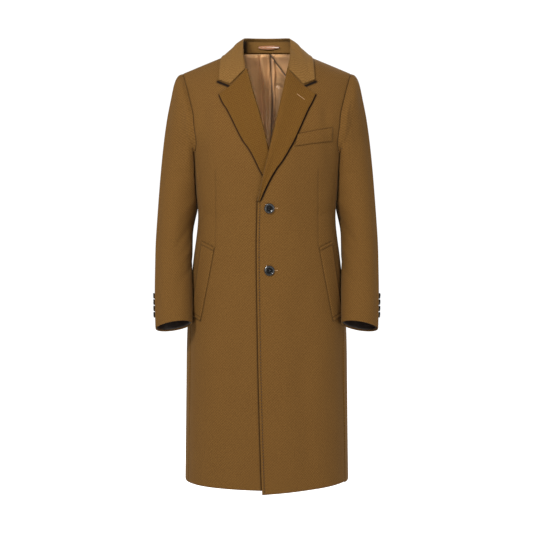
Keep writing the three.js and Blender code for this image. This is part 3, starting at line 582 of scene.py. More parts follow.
def painted_shade_group():
    """Paints shade into a colour: darker in the seams and along the masked lines under edges and in folds."""
    group, entry, leave = new_group(
        "seam_shade",
        [("Color", "NodeSocketColor", None), ("Depth", "NodeSocketFloat", 0.5)],
        [("Color", "NodeSocketColor")],
    )
    seam = group.nodes.new("ShaderNodeAttribute")
    seam.attribute_name = "seam"
    shade_mask = group.nodes.new("ShaderNodeAttribute")
    shade_mask.attribute_name = "shade_mask"
    share = math_node(group, "MAXIMUM", seam.outputs["Fac"], shade_mask.outputs["Fac"])
    share = math_node(group, "MULTIPLY", share, entry.outputs["Depth"], clamp=True)
    shaded = mix_colour(group, share, entry.outputs["Color"], SEAM_SHADE)
    group.links.new(shaded, leave.inputs["Color"])
    return group


def principled(name):
    material = bpy.data.materials.new(name)
    material.use_nodes = True
    return material, material.node_tree, material.node_tree.nodes["Principled BSDF"]


def use_group(tree, group, **values):
    node = tree.nodes.new("ShaderNodeGroup")
    node.node_tree = group
    for name, value in values.items():
        if isinstance(value, (int, float)):
            node.inputs[name].default_value = value
        else:
            tree.links.new(value, node.inputs[name])
    return node


def flat_vector(tree):
    node = tree.nodes.new("ShaderNodeUVMap")
    node.uv_map = "cloth"
    return node.outputs[0]


def bump(tree, height, strength, distance):
    node = tree.nodes.new("ShaderNodeBump")
    node.inputs["Strength"].default_value = strength
    node.inputs["Distance"].default_value = distance
    tree.links.new(height, node.inputs["Height"])
    return node.outputs["Normal"]


def wool_material(name, dark, light, twill, painted_seam_shade):
    material, tree, shader = principled(name)
    weave = use_group(tree, twill, Flat=flat_vector(tree), Wale=150.0, Nap=700.0)
    range_node = tree.nodes.new("ShaderNodeMapRange")
    range_node.inputs["From Min"].default_value = 0.3
    range_node.inputs["From Max"].default_value = 0.72
    tree.links.new(weave.outputs["Light"], range_node.inputs["Value"])
    cloth = mix_colour(tree, range_node.outputs[0], linear(*dark), linear(*light))
    cloudy = mix_colour(tree, weave.outputs["Cloud"], cloth, linear(*light), blend="MIX")
    cloth = mix_colour(tree, 0.25, cloth, cloudy)
    # Painted shade from the seam and shade masks darkens the cloth's colour.
    shaded_cloth = use_group(tree, painted_seam_shade, Color=cloth, Depth=0.9)
    tree.links.new(shaded_cloth.outputs[0], shader.inputs["Base Color"])
    tree.links.new(bump(tree, weave.outputs["Height"], 0.35, 0.0006), shader.inputs["Normal"])
    shader.inputs["Roughness"].default_value = 0.92
    shader.inputs["Specular IOR Level"].default_value = 0.12
    shader.inputs["Sheen Weight"].default_value = 0.10
    shader.inputs["Sheen Roughness"].default_value = 0.4
    shader.inputs["Sheen Tint"].default_value = (*linear(236, 206, 160), 1)
    return material


def satin_material(name, dark, light, painted_seam_shade, rough, sheen=0.2):
    material, tree, shader = principled(name)
    flat = flat_vector(tree)
    stretched = tree.nodes.new("ShaderNodeMapping")
    stretched.inputs["Scale"].default_value = (1800, 300, 1)
    tree.links.new(flat, stretched.inputs["Vector"])
    threads = noise(tree, stretched.outputs[0], 1.0, 2)
    cloud = noise(tree, flat, 20, 3)
    threads_share = math_node(tree, "MULTIPLY", threads, 0.35)
    share = math_node(tree, "ADD", threads_share, math_node(tree, "MULTIPLY", cloud, 0.65))
    cloth = mix_colour(tree, share, linear(*dark), linear(*light))
    # Painted shade from the seam and shade masks darkens the satin's colour.
    shaded_cloth = use_group(tree, painted_seam_shade, Color=cloth, Depth=0.6)
    tree.links.new(shaded_cloth.outputs[0], shader.inputs["Base Color"])
    tree.links.new(bump(tree, threads, 0.15, 0.0002), shader.inputs["Normal"])
    shader.inputs["Roughness"].default_value = rough
    shader.inputs["Specular IOR Level"].default_value = 0.5
    shader.inputs["Sheen Weight"].default_value = sheen
    return material


def horn_material():
    material, tree, shader = principled("dark_horn")
    coordinates = tree.nodes.new("ShaderNodeTexCoord")
    veins = noise(tree, coordinates.outputs["Object"], 160, 4)
    cloudy = mix_colour(tree, veins, linear(4, 4, 4), linear(24, 23, 22))
    tree.links.new(cloudy, shader.inputs["Base Color"])
    dished = tree.nodes.new("ShaderNodeAttribute")
    dished.attribute_name = "dish"
    dull = math_node(tree, "MULTIPLY", dished.outputs["Fac"], 0.55)
    tree.links.new(math_node(tree, "SUBTRACT", 0.7, dull), shader.inputs["Specular IOR Level"])
    shader.inputs["Roughness"].default_value = 0.16
    return material


def thread_material(name, colour):
    material, tree, shader = principled(name)
    coordinates = tree.nodes.new("ShaderNodeTexCoord")
    twist = noise(tree, coordinates.outputs["Object"], 1400, 1)
    tree.links.new(mix_colour(tree, twist, linear(*(0.7 * c for c in colour)), linear(*colour)),
                   shader.inputs["Base Color"])
    shader.inputs["Roughness"].default_value = 0.8
    return material


twill = twill_group()
sewn_shade = painted_shade_group()
wool = wool_material("camel_wool", (78, 49, 17), (108, 77, 35), twill, sewn_shade)
# A lighter copy of the coat's wool: painted light on the collar and its stand.
lit_collar_wool = wool_material("camel_wool_collar_painted_light", (88, 58, 24), (122, 90, 46), twill, sewn_shade)
lining_satin = satin_material("bronze_satin", (204, 151, 99), (240, 189, 134), sewn_shade, 0.36)
loop_satin = satin_material("bronze_satin_loop", (120, 72, 44), (176, 120, 78), sewn_shade, 0.3)
# A darker copy of the coat's wool: painted shade on the lapels.
shaded_lapel_wool = wool_material("camel_wool_lapel_painted_shade", (75, 46, 12), (101, 70, 25), twill, sewn_shade)
# The cuffs' lining is near-black: painted shade inside the sleeves.
shaded_cuff_satin = satin_material("cuff_satin_painted_shade", (22, 12, 6), (38, 22, 12), sewn_shade, 0.6, sheen=0)
horn = horn_material()
wool_thread = thread_material("brown_thread", (34, 20, 7))
pale_thread = thread_material("pale_thread", (176, 136, 92))
dark_thread = thread_material("black_thread", (22, 20, 20))


# Fronts

LOWER_ROWS = 170
UPPER_ROWS = 110
FRONT_COLUMNS = 104
PICKS_IN = 6  # the line of stitches from the front's edge
BACK_COLUMNS = 56
CLOSE = (0, 0.0035, 0.008, 0.015)


def front_rows(side):
    """Each row's ends: the height at the inner edge, and the height and x at the outer one."""
    edge_hem, side_hem = HEM[side]
    t = edged(LOWER_ROWS, (0, 0.001, 0.0025, 0.005))[:-3]
    edge_z = lerp(edge_hem, ARMHOLE_BOTTOM, t)
    z = lerp(side_hem, armhole_z(ARMPIT_TURN), t)
    x = body_point(SIDE_SEAM - SEAM / 200, z)[..., 0]
    turns = np.linspace(ARMPIT_TURN, 0, UPPER_ROWS + 1)
    rise = 1 - turns / ARMPIT_TURN
    up_z = armhole_z(turns)
    up_x = body_point(armhole_place(turns), up_z)[..., 0]
    up_edge = ARMHOLE_BOTTOM * (1 - np.sin(rise * np.pi / 2))
    raised = np.concatenate([np.zeros(len(t)), np.clip(1 - turns / TOP_ROW_TURN, 0, 1)])
    return np.concatenate([edge_z, up_edge]), np.concatenate([z, up_z]), np.concatenate([x, up_x]), raised


def front_places(side):
    edge_z, z, x, raised = (column[:, None] for column in front_rows(side))
    share = edged(FRONT_COLUMNS, CLOSE)[None]
    across = lerp(inner_edge(side, edge_z), x, share)
    straight = lerp(edge_z, z, share)
    return across, lerp(straight, shoulder_height(across), raised)


def front_relief(side, x, z):
    soft = creases(FRONT_CREASES, x * (1 if side == "left" else 0.96), z)
    near_edge = smooth(x - inner_edge(side, z), 4, 60)
    dart = along_line(x, z, *DART, DART_WIDTH)
    return soft * near_edge - DART_DEPTH * dart


def shadow_lines(side, x, z):
    """Painted shadow on a front: dark lines under the lapel, the collar's end, the welts, the lapped edge and
    along the picks.
    """
    lapel, reach = (1.7, 3.4) if side == "left" else (1.2, 2.9)
    edge = read(LAPEL_EDGE, "z", side, z)
    on_lapel = smooth(z, BREAK_Z - 6, BREAK_Z + 14) * (1 - smooth(z, -130, -122))
    lines = [
        lapel * np.exp(-(((x - edge - 1.5) / reach) ** 2)) * on_lapel,
        1.6 * along_line(x, z, (94, -106), (124, -91), 3.4),
        0.5 * along_line(x, z, SIDE_WELT[0], SIDE_WELT[3], 1.5),
        0.75 * along_line(x, z, (164.5, -495), (190.5, -683), 2.0),
        0.5 * along_line(x, z, SIDE_WELT[0], SIDE_WELT[1], 1.5),
        0.6 * along_line(x, z, SIDE_WELT[3], SIDE_WELT[2], 1.8),
    ]
    below = 1 - smooth(z, BREAK_Z, BREAK_Z + 20)
    if side == "left":
        lines.append(0.32 * np.exp(-(((x - inner_edge(side, z) - PICKS_IN) / 1.6) ** 2)) * below)
        ends = zip(CHEST_WELT, CHEST_WELT[1:] + CHEST_WELT[:1], (0.6, 0.6, 0.5, 0.4))
        lines += [depth * along_line(x, z, start, end, 1.6) for start, end, depth in ends]
    else:
        lap = -read(FRONT_EDGE, "z", "left", z)
        lines.append(0.95 * np.exp(-(((x - lap - 1) / 2.6) ** 2)) * below)
    return np.maximum.reduce(lines)


def front_cloth(side):
    x, z = front_places(side)
    relief = front_relief(side, x, z)
    outer, inner = front_point(side, x, z, relief), front_point(side, x, z, relief - WOOL)
    # Painted shade along the dart's groove, with the painted shadow lines.
    painted_shade = 0.2 * along_line(x, z, *DART, 1.6)
    painted_shade = np.maximum(painted_shade, shadow_lines(side, x, z))
    flat = np.stack([around(place_at(x, z), z), z], axis=-1)
    if side == "right":
        outer, inner, flat = mirrored(outer), mirrored(inner), flat * (-1, 1)
    # Painted shade in the side seam and the armhole seam.
    seam_shade_depths = {"last": 0.15, "top": 0.35}
    return shell(f"front_{side}_cloth", outer, inner, flat, wool, painted_seam_shade=seam_shade_depths, painted_shade=painted_shade)


# A seam allowance under the piece it is sewn to: how far in from the edge, and how deep
TUCK = [(5, 4.4), (1.2, 4.1), (0.3, 1.8)]


def tuck_under(outer, normal, share=1.0):
    """A grid and its normals with the seam allowance's rows before the first. share thins it out."""
    back = unit(outer[:1] - outer[1:2])
    share = np.broadcast_to(share, outer[:1].shape[:2])[..., None]
    rows = [outer[:1] + (back * reach - normal[:1] * deep) * share for reach, deep in TUCK]
    return np.concatenate([*rows, outer]), np.concatenate([normal[:1]] * len(TUCK) + [normal])


# Backs

def top_of_back(x):
    return np.where(x < NECK_HALF, NECK_BACK_Z * (1 - (x / NECK_HALF) ** 2), shoulder_height(x))


def back_rows(inset, lower=LOWER_ROWS, upper=UPPER_ROWS):
    edge, side = HEM["back"]
    t = edged(lower, (0, 0.001, 0.0025, 0.005))[:-3]
    centre_z = lerp(edge, ARMHOLE_BOTTOM, t)
    z = lerp(side, armhole_z(ARMPIT_TURN), t)
    place = np.full(len(t), SIDE_SEAM + (SEAM + inset) / 200)
    turns = np.linspace(ARMPIT_TURN, 360, upper + 1)
    rise = (turns - ARMPIT_TURN) / (360 - ARMPIT_TURN)
    up_centre = lerp(ARMHOLE_BOTTOM, NECK_BACK_Z, np.sin(rise * np.pi / 2))
    return (
        np.concatenate([np.zeros(len(t)), rise]),
        np.concatenate([centre_z, up_centre]),
        np.concatenate([z, armhole_z(turns)]),
        np.concatenate([place, armhole_place(turns) + inset / 200]),
    )


def back_places(under, first=0.0, inset=0.0, hem_up=0.0, shares=None, lower=LOWER_ROWS, upper=UPPER_ROWS):
    """The place round the body and the height of each point of a back."""
    rise, centre_z, z, place = (column[:, None] for column in back_rows(inset, lower, upper))
    share = (edged(BACK_COLUMNS, CLOSE) if shares is None else shares)[None]
    slit = 1 - smooth(centre_z, VENT_TOP - 4, VENT_TOP + 4)
    start = first if first else lerp(SEAM, -VENT_UNDERLAP, slit * under)
    here = lerp(place_at(start, centre_z, behind=True), place, share)
    straight = lerp(centre_z, z, share)
    x = np.abs(body_point(here, straight)[..., 0])
    top = top_of_back(x) - lerp(NECK_BACK_Z, ARMHOLE_TOP, share)
    hem = np.where(centre_z < HEM["back"][0] + 0.01, hem_up, 0)
    return here, straight + top * rise**2 + hem


def back_cloth(side):
    under = side == "left"
    here, z = back_places(under)
    x = body_point(here, z)[..., 0]
    near = 1 - smooth(np.abs(x), VENT_FULL, VENT_FADE)
    lap = 0 if under else VENT_LIFT * near * (1 - smooth(z, VENT_TOP, VENT_TOP + 70))
    relief = creases(BACK_CREASES, x, z) * smooth(x, 6, 40) + lap
    normal = body_normal(here, z)
    outer = body_point(here, z) + normal * relief[..., None]
    past_neck = 0.02 + 0.98 * smooth(x[-1:], NECK_HALF, NECK_HALF + 12)
    outer, normal = tuck_under(outer[::-1], normal[::-1], past_neck)
    outer, normal = outer[::-1], normal[::-1]
    below_arm = 0.02 + 0.98 * (1 - smooth(outer[:, -1, 2], ARMHOLE_BOTTOM - 12, ARMHOLE_BOTTOM - 2))
    outer, normal = (grid.swapaxes(0, 1)[::-1] for grid in (outer, normal))
    outer, normal = tuck_under(outer, normal, below_arm)
    outer, normal = (grid[::-1].swapaxes(0, 1) for grid in (outer, normal))
    inner = outer - normal * WOOL
    x, z = outer[..., 0], outer[..., 2]
    here = np.pad(here, ((0, len(TUCK)), (0, len(TUCK))), mode="edge")
    flat = np.stack([around(here, z), z], axis=-1)
    if side == "right":
        outer, inner, flat = mirrored(outer), mirrored(inner), flat * (-1, 1)
    # Painted shade down the centre back seam above the vent, and in the side and armhole seams.
    centre_seam_shade = 0.8 * np.exp(-((x / 2.2) ** 2)) * smooth(z, VENT_TOP - 6, VENT_TOP + 6)
    seam_shade_depths = {"last": 0.15, "top": 0.35}
    return shell(f"back_{side}_cloth", outer, inner, flat, wool, painted_seam_shade=seam_shade_depths, painted_shade=centre_seam_shade)


# The pressed pleat down the lining's middle, and the fold that runs from its top to the side
PLEAT = [(9.5, 5), (15.0, -110), (12.0, -240)]
DIAGONAL = [(9, 6), (51, -45)]


LINING_EASE, LINING_SOFT = 7.0, 1.6  # room behind the folds, and how softly they flatten on the back

# The lining's long folds: x at the neck, at the chest and at the waist, width, and height to the front
LINING_RUNS = [
    (-44, -30, -24, 9, 4.5),
    (-22, -11, -8, 4, -4.5),
    (-13, -3, 4, 6, 3.0),
    (4, 6, 8, 4, -2.5),
    (PLEAT[0][0], PLEAT[1][0], PLEAT[2][0], 3.0, -7.0),
    (16, 22, 20, 3.4, 5.5),
    (34, 32, 44, 8, 3.0),
    (-66, -50, -44, 8, -3.5),
]


def lining_ripples(x, z):
    """The lining's finer folds, in millimetres towards the front."""
    total = 3.5 * np.exp(-(((x + 30) / 15) ** 2 + ((z + 10) / 9) ** 2))
    total = total - 5.5 * along_line(x, z, *DIAGONAL, 3.4)
    total = total + 5.0 * along_line(x, z, (19, -10), (60, -66), 5)
    total = total - 3.0 * along_line(x, z, (30, -70), (58, -84), 4)
    total = total + 2.0 * along_line(x, z, (-58, -46), (-34, -28), 4)
    for number, (top, chest, waist, width, height) in enumerate(LINING_RUNS):
        middle = np.interp(-z, (0, 110, 240, 900), (top, chest, waist, waist))
        middle = middle + 1.6 * np.sin(z / 31 + 1.7 * number) + 0.9 * np.sin(z / 11 + number)
        uneven = 1 + 0.25 * np.sin(z / 23 + 2 * number)
        total = total + height * uneven * np.exp(-(((x - middle) / width) ** 2))
    return total


def lining_cloth():
    """The satin inside the back, in one piece from side to side."""
    shares = np.concatenate([np.linspace(0, 0.28, 60), np.linspace(0.3, 0.98, 30)])
    here, z = back_places(False, first=0.01, inset=1.0, hem_up=LINING_HEM, shares=shares, lower=60, upper=110)
    normal = body_normal(here, z)

    def layer(out):
        half = body_point(here, z) + normal * out
        whole = np.concatenate([mirrored(half)[:, :0:-1], half], axis=1)
        clear = -lerp(1.6, 3.2, smooth(-whole[..., 2], 0, 120))
        x, y, high = whole[..., 0], whole[..., 1], whole[..., 2]
        fold = sum(d * np.exp(-2 * ((x - middle) / width) ** 2) for middle, width, d in LINING_FOLDS)
        near_middle = 1 - smooth(np.abs(x), 80, 150)
        fold = (0.5 * fold + 1.5 * lining_ripples(x, high)) * (1 - 0.6 * smooth(-high, 300, 900))
        fold = np.logaddexp(0, (fold + LINING_EASE) / LINING_SOFT) * LINING_SOFT * near_middle
        below_seam = smooth(top_of_back(np.abs(x)) - high, 0, 12)
        return xyz(x * (1 + clear / 240), y + clear * np.sign(y) * 0.8 - fold * below_seam + LINING / 2, high)

    outer, inner = layer(-WOOL), layer(-WOOL - LINING)
    x, z = outer[..., 0], outer[..., 2]
    flat = np.stack([x, z], axis=-1)
    # Painted shade: dark lines in the pleat and the diagonal fold, shade on the right below the neck, and the
    # collar's shadow down the left.
    lines = [1.5 * along_line(x, z, PLEAT[0], PLEAT[1], 2.6), 1.5 * along_line(x, z, PLEAT[1], PLEAT[2], 2.6)]
    lines.append(1.6 * along_line(x, z, *DIAGONAL, 2.6))
    lines.append(0.85 * smooth(x, 14, 32) * smooth(-z, 28, 58) * (1 - smooth(-z, 125, 170)))
    lines.append(0.8 * along_line(x, z, (-60, 8), (-47, -112), 3.5))
    return shell("back_lining_satin", outer, inner, flat, lining_satin, painted_shade=np.maximum.reduce(lines))


# Sleeves

def sleeve_point(turn, section):
    x1, z1, x2, z2, y, half, lift = (
        read(SLEEVE, "section", column, section)
        for column in ("outer_x", "outer_z", "inner_x", "inner_z", "middle_y", "half_depth", "lift")
    )
    out, ahead = np.cos(np.radians(turn)), np.sin(np.radians(turn))
    x = (x1 + x2) / 2 + (x1 - x2) / 2 * out
    z = (z1 + z2) / 2 + (z1 - z2) / 2 * out + lift * ahead
    return xyz(x, y - half * ahead, z)


def body_side(y, z):
    """Half of the body's width at a depth and height below the armhole."""
    depth = np.where(y > 0, read(BODY, "z", "back", z), read(BODY, "z", "front", z))
    share = np.minimum(np.abs(y) / depth, 1)
    return read(BODY, "z", "half_width", z) * (1 - share ** (2 / ROUNDNESS)) ** (ROUNDNESS / 2)


def sleeve_surface(turn, section):
    turn, section = np.broadcast_arrays(np.asarray(turn, dtype=float) % 360, np.asarray(section, dtype=float))
    own = body_point(armhole_place(turn), armhole_z(turn)) - sleeve_point(turn, 0)
    at_first = 1 - smooth(FIRST_SECTION, -1, SLEEVE_HEAD)
    fade = 1 - smooth(section, -1, SLEEVE_HEAD)
    fade = np.where(section < FIRST_SECTION, lerp(1, at_first, section / FIRST_SECTION), fade)
    point = sleeve_point(turn, section) + own * fade[..., None]
    short = np.maximum(body_side(point[..., 1], point[..., 2]) + SLEEVE_GAP - point[..., 0], 0)
    return point + xyz(short * smooth(-point[..., 2], GAP_FROM, GAP_FULL), 0, 0)


def sleeve_grid(from_turn, to_turn, sections, count):
    share = edged(count, (0, 0.004, 0.01, 0.022))
    turns = lerp(from_turn + 0.3, to_turn - 0.3, share)[None]
    sections = sections[:, None]
    surface = sleeve_surface(turns, sections)
    step = 0.5
    around = sleeve_surface(turns + step, sections) - sleeve_surface(turns - step, sections)
    below, above = np.minimum(sections + 0.1, CUFF), np.maximum(sections - 0.1, 0)
    down = sleeve_surface(turns, below) - sleeve_surface(turns, above)
    return turns, sections, surface, unit(np.cross(around, down))


HIND_RIDGE = 2.6


SLEEVE_TURNS = np.arange(-180, 541)
SLEEVE_ROUND = np.radians(SLEEVE_TURNS)
SLEEVE_STEPS = np.hypot(
    SLEEVE_WIDE * np.diff(np.cos(SLEEVE_ROUND)),
    SLEEVE_DEEP * np.diff(np.sin(SLEEVE_ROUND)),
)
SLEEVE_ARCS = np.cumsum(np.r_[0, SLEEVE_STEPS])


def round_sleeve(point, middle):
    """The way round the sleeve in millimetres. middle is the turn at the piece's middle, in degrees."""
    x, y, z = point[..., 0], point[..., 1], point[..., 2]
    centre = np.interp(-z, -SLEEVE["outer_z"], SLEEVE["middle_y"])
    turn = np.degrees(np.arctan2((centre - y) / SLEEVE_DEEP, (x - SLEEVE_AXIS) / SLEEVE_WIDE))
    turn = middle + (turn - middle + 180) % 360 - 180
    return np.interp(turn, SLEEVE_TURNS, SLEEVE_ARCS)


def sleeve_cloth(side, piece):
    top = piece == "top"
    ends = (HIND_SEAM, FORE_SEAM) if top else (FORE_SEAM, HIND_SEAM + 360)
    head, length = np.linspace(0.012, 0.4, 12), np.linspace(0.45, CUFF - 0.1, 130)
    sections = np.concatenate([head, length, [CUFF - 0.05, CUFF - 0.02, CUFF]])
    turns, sections, surface, normal = sleeve_grid(*ends, sections, 52)
    relief = creases(SLEEVE_CREASES, turns, sections, scale=(SLEEVE_TURN_SCALE, SLEEVE_SECTION_SCALE))
    relief = relief * smooth(sections, 0, 1.2) * smooth(CUFF - sections, 0.1, 1.2)
    hind = HIND_RIDGE * np.exp(-(((turns - HIND_SEAM - 5) / 4) ** 2)) * smooth(sections, 0.8, 2)
    relief = relief + (hind if top else 0) + np.zeros_like(surface[..., 0])
    outer = surface + normal * relief[..., None]
    outer, normal = tuck_under(outer, normal)
    inner = outer - normal * WOOL
    sections = np.concatenate([np.zeros((len(TUCK), 1)), sections])
    flat = np.stack([round_sleeve(outer, sum(ends) / 2), outer[..., 2]], axis=-1)
    # Painted shade in the armhole seam, and in the seams down both sides of the piece.
    armhole_seam_shade = 0.9 * np.exp(-((sections / 0.035) ** 2))
    if side == "right":
        outer, inner, flat = mirrored(outer), mirrored(inner), flat * (-1, 1)
    name, seam_shade_depths = f"sleeve_{piece}_{side}_cloth", {"first": 0.3, "last": 0.2}
    return shell(name, outer, inner, flat, wool, painted_seam_shade=seam_shade_depths, painted_shade=armhole_seam_shade)


def cuff_cloth(side):
    sections = np.linspace(CUFF - CUFF_LINING_DEPTH, CUFF - 0.06, 24)[:, None]
    turns = np.linspace(0, 360, 97)[:-1][None]
    surface = sleeve_surface(turns, sections)
    around = sleeve_surface(turns + 0.5, sections) - sleeve_surface(turns - 0.5, sections)
    down = sleeve_surface(turns, np.minimum(sections + 0.1, CUFF)) - sleeve_surface(turns, sections - 0.1)
    normal = unit(np.cross(around, down))
    creased = 1.2 * np.sin(np.radians(turns) * 9 + sections * 2) * smooth(CUFF - sections, 0.05, 0.8)
    creased = np.broadcast_to(1.2 + creased, surface.shape[:2])
    outer = surface - normal * (WOOL + LAID + creased)[..., None]
    inner = outer - normal * LINING
    flat = np.stack(np.broadcast_arrays(turns, sections * SLEEVE_SECTION_SCALE), axis=-1)
    if side == "right":
        outer, inner = mirrored(outer), mirrored(inner)
    return shell(f"cuff_lining_{side}_satin", outer, inner, flat, shaded_cuff_satin, closed=True)


# Collar

def neckline(at):
    x = read(STAND_FOOT, "at", "x", at)
    behind_z = top_of_back(x)
    behind = body_point(place_at(x, behind_z, behind=True), behind_z)
    zs = np.linspace(GORGE_Z, 0, 400)
    ahead_z = np.interp(x, read(NECKLINE, "z", "x", zs), zs)
    ahead = body_point(place_at(x, ahead_z), ahead_z)
    return np.where((at <= 0.6)[..., None], behind, ahead)


def collar_line(at, name):
    x, y, z = (read(COLLAR[name], "at", column, np.abs(at)) for column in "xyz")
    return xyz(np.sign(at) * x, y, z)


def towards_neck(roll):
    return unit(xyz(-roll[..., 0], NECK_MIDDLE_Y - roll[..., 1], 0))


def clear_of_body(point, clear):
    """Moves each point out until it is that far off the body, square to it."""
    x = np.abs(point[..., 0])
    behind = point[..., 1] > SHOULDER_Y
    deep = np.abs(point[..., 1] - SHOULDER_Y)

    def on_body(z):
        ahead_point = body_point(place_at(x, z), z)
        behind_point = body_point(place_at(x, z, behind=True), z)
        return np.where(behind[..., None], behind_point, ahead_point)

    low, high = np.full(x.shape, -260.0), shoulder_height(x)
    for _ in range(30):
        middle = (low + high) / 2
        past = np.abs(on_body(middle)[..., 1] - SHOULDER_Y) > deep
        low, high = np.where(past, middle, low), np.where(past, high, middle)
    place = np.where(behind, place_at(x, high, behind=True), place_at(x, high))
    normal = body_normal(place, high)
    off = ((xyz(x, point[..., 1], point[..., 2]) - on_body(high)) * normal).sum(axis=-1)
    normal = normal * xyz(np.where(point[..., 0] < 0, -1, 1), 1, 1)
    return point + normal * np.maximum(clear - off, 0)[..., None]


def collar_fall_cloth():
    clear = COLLAR_CLOTH + LAID + 0.7
    at = edged(110, (0, 0.003, 0.007, 0.014))[None] * 2 - 1
    down = np.concatenate([np.linspace(-1, 0, 7)[:-1], edged(40, (0, 0.01, 0.025, 0.05))])[:, None]
    roll, middle, leaf = (collar_line(at, name) for name in ("roll", "middle", "leaf"))
    fade = 1 - np.abs(at) ** 6
    upper = np.clip(down / LEAF_SPLIT, 0, 1)[..., None]
    lower = np.clip((down - LEAF_SPLIT) / (1 - LEAF_SPLIT), 0, 1)[..., None]
    point = lerp(lerp(roll, middle, upper), leaf, lower)
    outward = unit(xyz(roll[..., 0], roll[..., 1] - NECK_MIDDLE_Y, 26))
    swell = ROLL_BULGE * np.sin(np.pi * upper[..., 0]) * fade
    swell = swell + 1.4 * np.sin(np.pi * np.clip(down, 0, 1)) * fade
    stands_off = clear + 2.4 * smooth(down, 0.75, 1) * smooth(np.abs(at), 0.68, 0.82)
    outside = clear_of_body(point + outward * swell[..., None], np.where(down < 0, clear - 1, stands_off))
    turned_in = roll + towards_neck(roll) * (ROLL_BULGE * fade)[..., None] - xyz(0, 0, ROLL_BULGE / 2)
    turned_in = clear_of_body(turned_in, clear - 1)
    inside_share = np.clip(-down, 0, 1)[..., None]
    arc = np.sin(np.pi * inside_share) * xyz(0, 0, 1.1)
    outer = np.where((down < 0)[..., None], lerp(outside[6:7], turned_in, inside_share) + arc, outside)
    normals = grid_normals(outer)
    inner = outer - normals * COLLAR_CLOTH
    length = np.cumsum(np.r_[0, np.linalg.norm(np.diff(outer[12], axis=0), axis=1)])
    flat = np.stack(np.broadcast_arrays(length[None] - length[-1] / 2, -down * 60), axis=-1)
    return shell("collar_fall_cloth", outer, inner, flat, lit_collar_wool)


def collar_stand_cloth():
    at = (STAND_END * (edged(80, (0, 0.004, 0.01, 0.02)) * 2 - 1))[None]
    up = edged(24, (0, 0.02, 0.05, 0.1))[:, None]
    seat = neckline(np.abs(at)) * xyz(np.where(at < 0, -1, 1), 1, 1)
    roll = collar_line(at, "roll")
    drop = STAND_DROP + 3 * smooth(np.abs(at), 0.5, STAND_END)
    reach = 1 - drop / np.linalg.norm(roll - seat, axis=-1)
    top = lerp(seat, roll, reach[..., None]) + towards_neck(roll) * STAND_INSIDE
    lifted = seat + unit(top - seat) * STAND_FOOT_GAP
    outer = lerp(lifted, top, up[..., None])
    normals = grid_normals(outer)
    inner = outer - normals * STAND_CLOTH
    length = np.cumsum(np.r_[0, np.linalg.norm(np.diff(outer[4], axis=0), axis=1)])
    flat = np.stack(np.broadcast_arrays(length[None], up * 45), axis=-1)
    # Painted shadow of the collar's roll over the stand's left end, and painted shade in the seam at its top.
    shaded = 1.05 * smooth(-outer[..., 0], 46, 56) + 0 * up
    return shell("collar_stand_cloth", outer, inner, flat, lit_collar_wool, painted_seam_shade={"top": 0.35}, painted_shade=shaded)


# Lapels

def lapel_cloth(side):
    """A lapel on its front, its inner columns rolled over the front's edge to the inside."""
    share = edged(44, (0, 0.006, 0.015, 0.03))[None]
    down = np.concatenate([edged(110, (0, 0.002, 0.005, 0.01))[:-3] * 0.985, [0.98, 0.9835, 0.985]])[:, None]
    roll_z = lerp(-61.2, BREAK_Z, down)
    edge_z = lerp(-125.5, BREAK_Z + 1, down)
    kink = np.sin(np.pi * share) * 5.2 * np.maximum(1 - down / 0.2, 0)
    roll_x = read(ROLL_LINE, "z", side, roll_z) - 1.6 * (1 - down)
    x = lerp(roll_x, read(LAPEL_EDGE, "z", side, edge_z), share)
    z = lerp(roll_z, edge_z, share) - kink
    covered = smooth(-z, 210, 270) if side == "right" else 0
    rolled = 2.6 * np.exp(-(((share - 0.1) / 0.22) ** 2)) * (1 - covered)
    soft = 1.2 * np.sin(np.pi * share) * np.sin(np.pi * down) * (1 - covered)
    soft = soft + 3.2 * smooth(share, 0.6, 1) * smooth(1 - down, 0.03, 0.25) * (1 - covered)
    inner = front_point(side, x, z, LAID + rolled + soft)
    outer = front_point(side, x, z, LAID + rolled + soft + LAPEL_CLOTH)
    inner, outer = roll_over(inner, outer)
    flat = np.stack([outer[..., 0] + 0.35 * outer[..., 2], outer[..., 2] - 0.35 * outer[..., 0]], axis=-1)
    if side == "right":
        outer, inner, flat = mirrored(outer), mirrored(inner), flat * (-1, 1)
    # Painted shadow of the collar's end on the lapel.
    collar_shadow = 0.5 * along_line(np.abs(outer[..., 0]), outer[..., 2], (60, -66), (97, -104), 1.8)
    return shell(f"lapel_{side}_cloth", outer, inner, flat, shaded_lapel_wool, painted_shade=collar_shadow, rounded=0.4)


def roll_over(inner, outer):
    """Adds columns before the first that turn the cloth round the front's edge."""
    first_out, first_in = outer[:, :1], inner[:, :1]
    thick = unit(first_out - first_in)
    inward = unit(outer[:, :1] - outer[:, 4:5])
    radius = (WOOL + 2 * LAID) / 2
    centre = first_in - thick * radius
    turns = np.linspace(200, 90, 9)[None, :-1, None] * np.pi / 180

    def ring(size):
        return centre + inward * np.cos(turns - np.pi / 2) * size + thick * np.sin(turns) * size

    new_in = ring(radius)
    new_out = ring(radius + LAPEL_CLOTH * 0.7)
    return np.concatenate([new_in, inner], axis=1), np.concatenate([new_out, outer], axis=1)


# Pockets

def patch(side, corners, down_count, across_count, lift):
    """A grid of places between four corners in the front view, and its two layers on the front."""
    (a, b, c, d) = (np.array(corner, dtype=float) for corner in corners)
    down = edged(down_count, (0, 0.01, 0.02, 0.04))[:, None, None]
    share = edged(across_count, (0, 0.02, 0.045, 0.09))[None, :, None]
    places = lerp(lerp(a, b, share), lerp(d, c, share), down)
    x, z = places[..., 0], places[..., 1]
    relief = front_relief(side, x, z) + lift(down[..., 0], share[..., 0])
    return x, z, front_point(side, x, z, LAID + relief), front_point(side, x, z, LAID + relief + WELT_CLOTH)


